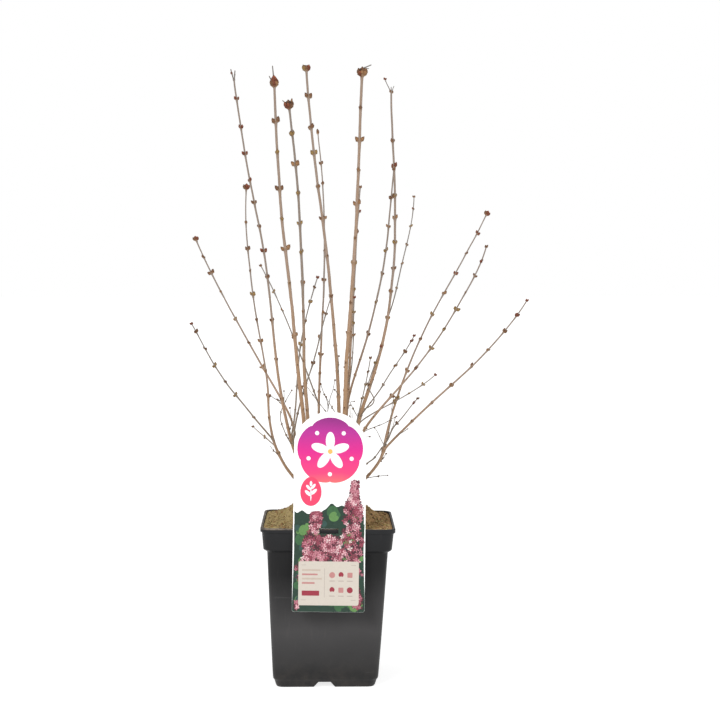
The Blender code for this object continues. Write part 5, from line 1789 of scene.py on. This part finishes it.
def tongue_loop(width=0.00045):
    """The fine U that is punched below the slot."""
    outer, inner = [], []
    a, foot = 0.0128, -0.0345
    path = [(-a, -0.0085), (-a, -0.0150)]
    for k in range(1, 12):
        t = math.pi + k / 12 * math.pi
        path.append((a * math.cos(t), -0.0150 + (foot + 0.0150) * -math.sin(t) * -1 * -1))
    path += [(a, -0.0150), (a, -0.0085)]
    path = np.array(path)
    d = np.gradient(path, axis=0)
    nrm = np.stack([-d[:, 1], d[:, 0]], -1)
    nrm /= np.linalg.norm(nrm, axis=1)[:, None]
    return np.concatenate([path - nrm * width, (path + nrm * width)[::-1]])


def strip_edges(faces):
    """Boundary edges of a set of triangles, each in its face's direction."""
    seen = {}
    for f in faces:
        for a, b in ((f[0], f[1]), (f[1], f[2]), (f[2], f[0])):
            seen[(int(a), int(b))] = True
    return [e for e in seen if (e[1], e[0]) not in seen]


PRINTS = {}


def sheet_solid(heap, verts, faces, low, high, look=0, rim=None):
    """A thin closed sheet from a flat pattern, between two heights."""
    m = len(verts)
    a = on_tag(verts[:, 0], verts[:, 1], high)
    b = on_tag(verts[:, 0], verts[:, 1], low)
    # seen from the front (-Y) the face runs anticlockwise in (u, w)
    area = 0.5 * np.sum((verts[faces[:, 1], 0] - verts[faces[:, 0], 0]) * (verts[faces[:, 2], 1] - verts[faces[:, 0], 1])
                        - (verts[faces[:, 2], 0] - verts[faces[:, 0], 0]) * (verts[faces[:, 1], 1] - verts[faces[:, 0], 1]))
    if area < 0:
        faces = faces[:, ::-1]
    walls = [(e[1], e[0], e[0] + m, e[1] + m) for e in strip_edges(faces)]
    heap.add(np.concatenate([a, b]), walls, np.concatenate([faces, faces[:, ::-1] + m]), look if rim is None else rim, look)


CARD = Look("tag_white", (0.88, 0.875, 0.87), 0.34, 0.5)
g = CARD.noise(CARD.place("Object"), 30.0, 3.0)
CARD.colour(CARD.mix(g, (0.85, 0.85, 0.845), (0.91, 0.905, 0.90)))
CARD.roughness(CARD.range(CARD.noise(CARD.place("Object"), 60.0, 4.0), 0.3, 0.7, 0.26, 0.40))
CARD.bump(CARD.noise(CARD.place("Object"), 24.0, 2.0), 0.0006, 0.25)

heap = Heap()
slot = slot_loop()
tongue = tongue_loop()
verts, faces = fill(arch_outline(), [slot, tongue], 0.0035)
sheet_solid(heap, verts, faces, 0.0, TAG_THICK)
card = heap.piece("tag_card", [CARD], "tag_card", ["tag"], smooth=30)

# the hook: folded back at the slot's upper edge, over the lip and down inside
HOOK_LINE = [(-0.0962, 0.2330), (-0.0953, 0.2324), (-0.0924, 0.2323), (-0.0913, 0.2318), (-0.0909, 0.2309)]
line = passing_line([(0.0, y, z) for y, z in [(-0.0968, 0.2332)] + HOOK_LINE])[::5]
t = np.gradient(line, axis=0)
t /= np.linalg.norm(t, axis=1)[:, None]
nrm = np.cross([1.0, 0, 0], t)
half = SLOT[0] - 0.001
line[:, 2] -= 0.0140 * TAG_PLACE[0]
rings = []
for k in range(len(line)):
    w = half * (1 - 0.35 * (k / (len(line) - 1)) ** 6)
    base = line[k] + np.array([TAG_PLACE[0], 0, 0])
    rings.append(np.array([base + np.array([-w, 0, 0]) - nrm[k] * 0.00025, base + np.array([w, 0, 0]) - nrm[k] * 0.00025,
                           base + np.array([w, 0, 0]) + nrm[k] * 0.00025, base + np.array([-w, 0, 0]) + nrm[k] * 0.00025]))
heap = Heap()
last = (len(rings) - 1) * 4
heap.add(np.concatenate(rings), np.concatenate([weave(len(rings), 4), [[3, 2, 1, 0]], [[last, last + 1, last + 2, last + 3]]]))
heap.piece("tag_fold", [CARD], "tag_card", ["tag_hook"], smooth=30)


# ---- print: plain shapes of ink, in thin layers ---------------------------------
def ink(name, colour, vary=0.10, rough=0.36):
    look = Look(name, colour, rough, 0.5)
    g = look.noise(look.place("Object"), 420.0, 3.0, 0.6)
    look.colour(look.mix(g, tuple(c * (1 - vary) for c in colour), tuple(min(1, c * (1 + vary)) for c in colour)))
    look.roughness(look.range(g, 0.3, 0.7, rough - 0.06, rough + 0.06))
    return look


def oval(cx, cy, a, b, turn=0.0, count=28):
    t = np.arange(count) / count * 2 * math.pi
    x, y = a * np.cos(t), b * np.sin(t)
    c, s = math.cos(turn), math.sin(turn)
    return np.stack([cx + x * c - y * s, cy + x * s + y * c], -1)


def blossom(cx, cy, radius, lobes, depth, turn=0.0, count=160):
    t = np.arange(count) / count * 2 * math.pi
    r = radius * (1 - depth + depth * np.abs(np.cos((t - turn) * lobes / 2)) ** 0.55)
    return np.stack([cx + r * np.cos(t), cy + r * np.sin(t)], -1)


def heart_leaf(cx, cy, size, turn, count=36):
    """A lilac leaf: heart-shaped at its foot and drawn out to a point."""
    t = np.arange(count) / count * 2 * math.pi
    r = size * (0.62 + 0.30 * np.cos(t) - 0.05 * np.cos(2 * t) + 0.16 * np.abs(np.cos(t / 2)) ** 14 - 0.30 * np.abs(np.sin(t / 2)) ** 26)
    x, y = r * np.cos(t), r * np.sin(t) * 0.95
    c, s = math.cos(turn), math.sin(turn)
    return np.stack([cx + x * c - y * s, cy + x * s + y * c], -1)


def soft_box(x0, y0, x1, y1, r, count=5):
    points = []
    for cx, cy, a0 in ((x1 - r, y1 - r, 0), (x0 + r, y1 - r, 1), (x0 + r, y0 + r, 2), (x1 - r, y0 + r, 3)):
        for k in range(count + 1):
            a = (a0 + k / count) * math.pi / 2
            points.append((cx + r * math.cos(a), cy + r * math.sin(a)))
    return np.array(points)


def clip_wavy(base_height, waves):
    """The edge between the white head of the card and the printed garden."""
    xs = np.linspace(-0.0507, 0.0507, 46)
    ys = base_height + sum(a * np.sin(f * xs * 1000 + p) for a, f, p in waves)
    return xs, ys


LAYER = TAG_THICK
# a shaded medallion in the outline of a five-petalled blossom
medal = blossom(0.0, 0.1130, 0.0470, 5, 0.075, math.radians(90))
heap = Heap()
verts, faces = fill(medal, [], 0.004)
sheet_solid(heap, verts, faces, LAYER, LAYER + 0.00006)
SHADE = Look("ink_shaded", (0.6, 0.05, 0.3), 0.34, 0.5)
z = SHADE.node("ShaderNodeSeparateXYZ")
SHADE.link(SHADE.place("Object"), z.inputs[0])
lift = SHADE.math("ADD", z.outputs["Z"], SHADE.range(SHADE.noise(SHADE.place("Object"), 18.0, 2.0), 0.0, 1.0, -0.008, 0.008))
SHADE.colour(SHADE.ramp(SHADE.range(lift, 0.292, 0.385), (0.0, (0.78, 0.150, 0.130)), (0.20, (0.74, 0.045, 0.165)), (0.52, (0.61, 0.013, 0.220)), (0.82, (0.40, 0.020, 0.250)), (1.0, (0.25, 0.016, 0.185))))
heap.piece("tag_print_medallion", [SHADE], "tag_card", smooth=30)

# five pale petals laid over it, and a ring of small ones
heap = Heap()
for k in range(5):
    a = math.radians(90 + 72 * k)
    loop = oval(0.0 + 0.0150 * math.cos(a), 0.1120 + 0.0150 * math.sin(a), 0.0128, 0.0064, a, 26)
    verts, faces = fill(loop, [], 0.0035)
    sheet_solid(heap, verts, faces, LAYER + 0.00006, LAYER + 0.00010)
verts, faces = fill(oval(0.0, 0.1120, 0.0034, 0.0034, 0, 20), [], 0.003)
sheet_solid(heap, verts, faces, LAYER + 0.00010, LAYER + 0.00014, 1)
for k in range(5):
    a = math.radians(126 + 72 * k)
    loop = oval(0.0320 * math.cos(a), 0.1120 + 0.0320 * math.sin(a), 0.0030, 0.0030, a, 16)
    verts, faces = fill(loop, [], 0.003)
    sheet_solid(heap, verts, faces, LAYER + 0.00006, LAYER + 0.00010)
WHITE_INK = ink("ink_white", (0.80, 0.77, 0.79), 0.04)
GOLD_INK = ink("ink_gold", (0.80, 0.42, 0.10), 0.08)
heap.piece("tag_print_petals", [WHITE_INK, GOLD_INK], "tag_card", smooth=30)

# a coral drop with a pale sprig, low on the left of the white head
heap = Heap()
t = np.arange(44) / 44 * 2 * math.pi
drop = np.stack([0.0185 * np.sin(t) * (0.72 + 0.28 * np.cos(t / 2 + math.pi / 2) ** 2) , 0.0205 * -np.cos(t)], -1)
drop[:, 0] *= np.clip(1.15 - (drop[:, 1] + 0.0205) / 0.041 * 0.42, 0.6, 1.2)
drop = drop + np.array([-0.0265, 0.0555])
verts, faces = fill(drop, [], 0.004)
sheet_solid(heap, verts, faces, LAYER + 0.00012, LAYER + 0.00018, 0)
for cx, cy, a, b, turn in ((-0.0265, 0.0520, 0.0009, 0.0100, 0.0), (-0.0305, 0.0530, 0.0058, 0.0024, 2.4), (-0.0225, 0.0550, 0.0058, 0.0024, 0.75),
                           (-0.0300, 0.0610, 0.0046, 0.0020, 2.3), (-0.0232, 0.0625, 0.0046, 0.0020, 0.9), (-0.0265, 0.0665, 0.0018, 0.0038, 0.0)):
    verts, faces = fill(oval(cx, cy, a, b, turn, 18), [], 0.003)
    sheet_solid(heap, verts, faces, LAYER + 0.00018, LAYER + 0.00022, 1)
ring = oval(-0.0265, 0.0555, 0.0205, 0.0226, 0, 48)
CORAL = ink("ink_coral", (0.90, 0.045, 0.120), 0.05)
heap.piece("tag_print_drop", [CORAL, WHITE_INK], "tag_card", smooth=30)

# the garden: dark green ground below a wavy edge, with leaves
xs, ys = clip_wavy(0.0300, ((0.0080, 0.075, 0.4), (0.0035, 0.19, 1.7), (0.0016, 0.45, 0.2)))
frame_low = arch_outline(0.0001)
lower = frame_low[:12]
ground = np.concatenate([lower, np.stack([xs, ys], -1)[::-1]])
heap = Heap()
verts, faces = fill(ground, [slot, tongue], 0.0035)
sheet_solid(heap, verts, faces, LAYER, LAYER + 0.00005, 0)
card_dice = np.random.default_rng(91)
layer = 0
for index in range(120):
    cx, cy = card_dice.uniform(-0.050, 0.050), card_dice.uniform(-0.112, 0.034)
    size = card_dice.uniform(0.0055, 0.0125)
    loop = heart_leaf(cx, cy, size, card_dice.uniform(0, 2 * math.pi))
    ok = inside(loop, ground).all() and not inside(loop, slot_loop(0.0012)).any() and not inside(slot_loop(0.0012), loop).any() and not inside(tongue, loop).any() and not inside(loop, tongue_loop(0.001)).any()
    if not ok:
        continue
    verts, faces = fill(loop, [], 0.004)
    layer = (layer + 1) % 5
    sheet_solid(heap, verts, faces, LAYER + 0.00005, LAYER + 0.00008 + 0.00001 * layer, int(card_dice.integers(1, 4)))
greens = [ink("ink_green_dark", (0.010, 0.034, 0.020), 0.35), ink("ink_green", (0.030, 0.100, 0.036), 0.3), ink("ink_green_light", (0.095, 0.210, 0.060), 0.25), ink("ink_green_blue", (0.020, 0.060, 0.050), 0.25)]
heap.piece("tag_print_garden", greens, "tag_card", smooth=30)

# the flower heads: two leaning cones of four-petalled florets
heap = Heap()


def floret(cx, cy, size, turn, height, look):
    """Four blunt petals with a cupped middle, flat to the card."""
    for q in range(4):
        a = turn + q * math.pi / 2
        c, s = math.cos(a), math.sin(a)
        shape = np.array([(0.05, 0.0), (0.42, -0.27), (0.86, -0.24), (1.0, 0.0), (0.86, 0.24), (0.42, 0.27)]) * size
        u = cx + shape[:, 0] * c - shape[:, 1] * s
        w = cy + shape[:, 0] * s + shape[:, 1] * c
        lift = LAYER + height + np.array([0.0, 0.00001, 0.00003, 0.00004, 0.00003, 0.00001])
        p = on_tag(u, w, lift)
        heap.add(p, [(0, 1, 2, 3), (0, 3, 4, 5)], None, look)


def cone(x0, y0, x1, y1, wide, count):
    """A panicle: dark florets deep in it, pale ones on top."""
    axis = np.array([x1 - x0, y1 - y0])
    length = np.hypot(*axis)
    axis = axis / length
    across = np.array([-axis[1], axis[0]])
    for index in range(count):
        v = card_dice.uniform(0, 1) ** 0.9
        half = wide * (1 - 0.80 * v**1.6) * (0.80 + 0.20 * math.sin(v * 17 + x0 * 90))
        h = card_dice.uniform(-1, 1) * half
        p = np.array([x0, y0]) + axis * length * v + across * h
        size = card_dice.uniform(0.0022, 0.0038)
        if abs(p[0]) > 0.0505 - size or p[1] < -0.1125 + size:
            continue
        if abs(p[0]) < SLOT[0] + size and abs(p[1]) < SLOT[1] + size:
            continue
        depth = index / count
        patch = float(noise(np.array([[p[0] * 150, p[1] * 150, 2.2]]), 93)[0])
        if depth < 0.40:
            shade = card_dice.choice([0, 1], p=[0.72, 0.28])
        elif depth < 0.70:
            shade = card_dice.choice([0, 1, 2], p=[0.30, 0.45, 0.25])
        elif patch < -0.12:
            continue
        else:
            shade = card_dice.choice([1, 2, 3, 4], p=[0.25, 0.35, 0.27, 0.13])
        floret(p[0], p[1], size, card_dice.uniform(0, math.pi / 2), 0.00014 + 0.00012 * depth, int(shade))


cone(0.0270, -0.062, 0.0365, 0.070, 0.0240, 720)
cone(-0.0250, -0.078, -0.0180, 0.026, 0.0275, 720)
cone(0.0040, -0.052, 0.0030, -0.004, 0.0300, 330)
cone(0.0430, -0.112, 0.0420, -0.080, 0.0085, 60)
cone(-0.0440, -0.113, -0.0450, -0.098, 0.0060, 24)
pinks = [ink("ink_plum", (0.060, 0.010, 0.020), 0.2), ink("ink_rose", (0.235, 0.042, 0.068), 0.15), ink("ink_pink", (0.425, 0.155, 0.195), 0.12), ink("ink_blush", (0.640, 0.380, 0.405), 0.08), ink("ink_cream", (0.720, 0.600, 0.580), 0.06)]
heap.piece("tag_print_florets", pinks, "tag_card", smooth=None)

# a plain cream panel with bars and simple signs
heap = Heap()
panel = soft_box(-0.0425, -0.1040, 0.0425, -0.0425, 0.0030)
verts, faces = fill(panel, [], 0.0035)
sheet_solid(heap, verts, faces, LAYER + 0.00030, LAYER + 0.00036, 0)
TOP = LAYER + 0.00036


def bar_of(x0, y0, x1, y1, look):
    verts, faces = fill(soft_box(x0, y0, x1, y1, min(0.0006, (y1 - y0) * 0.45, (x1 - x0) * 0.45), 3), [], 0.004)
    sheet_solid(heap, verts, faces, TOP, TOP + 0.00004, look)


bar_of(-0.0385, -0.0480, 0.0385, -0.0474, 2)
bar_of(-0.0385, -0.0968, 0.0385, -0.0962, 2)
bar_of(-0.0060, -0.0930, -0.0055, -0.0520, 2)
for k, wide in enumerate((0.026, 0.022, 0.028, 0.018)):
    bar_of(-0.0375, -0.0560 - 0.0060 * k, -0.0375 + wide, -0.0536 - 0.0060 * k, 3 if k % 2 else 4)
bar_of(-0.0375, -0.0905, -0.0130, -0.0835, 1)
for row in range(2):
    for col in range(3):
        cx, cy = 0.0050 + 0.0125 * col, -0.0615 - 0.0210 * row
        if (row + col) % 3 == 0:
            verts, faces = fill(oval(cx, cy, 0.0042, 0.0042, 0, 24), [], 0.003)
        elif (row + col) % 3 == 1:
            verts, faces = fill(heart_leaf(cx, cy - 0.001, 0.0052, math.pi / 2), [], 0.003)
        else:
            verts, faces = fill(soft_box(cx - 0.0036, cy - 0.0036, cx + 0.0036, cy + 0.0036, 0.001), [], 0.003)
        sheet_solid(heap, verts, faces, TOP, TOP + 0.00004, 1 if (row + col) % 2 else 3)
        bar_of(cx - 0.0040, cy - 0.0088, cx + 0.0040, cy - 0.0078, 2)
cream = ink("ink_cream_panel", (0.515, 0.465, 0.405), 0.07)
heap.piece("tag_print_panel", [cream, ink("ink_maroon", (0.260, 0.022, 0.040), 0.1), ink("ink_grey", (0.330, 0.270, 0.240), 0.1), ink("ink_rosewood", (0.420, 0.190, 0.180), 0.1), ink("ink_taupe", (0.440, 0.360, 0.300), 0.1)], "tag_card", smooth=30)

# the punched U: a thin dark sheet laid over the cut, painted shade where the card is cut through
heap = Heap()
verts, faces = fill(tongue_loop(0.00022), [], 0.004)
sheet_solid(heap, verts, faces, LAYER + 0.00026, LAYER + 0.00029, 0)
heap.piece("tag_cut_painted_shade", [ink("cut_painted_shade", (0.16, 0.07, 0.09), 0.1)], "tag_card", smooth=30)


# ============================================================================
# floor
# ============================================================================
floor_mesh = bpy.data.meshes.new("floor")
R = 30.0
floor_mesh.from_pydata([(-R, -R, 0), (R, -R, 0), (R, R, 0), (-R, R, 0)], [], [(0, 1, 2, 3)])
floor = bpy.data.objects.new("floor", floor_mesh)
FLOOR = Look("pale_floor", (0.34, 0.34, 0.34), 0.9, 0.1)
FLOOR.set("Emission Color", (1.0, 1.0, 1.0, 1.0))
FLOOR.set("Emission Strength", 0.80)
floor_mesh.materials.append(FLOOR.material)
scene.collection.objects.link(floor)
floor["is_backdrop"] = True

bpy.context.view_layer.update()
total = 0
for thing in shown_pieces():
    if thing.type == "MESH":
        total += sum(len(p.vertices) - 2 for p in thing.data.polygons)
print("triangles in all:", total)
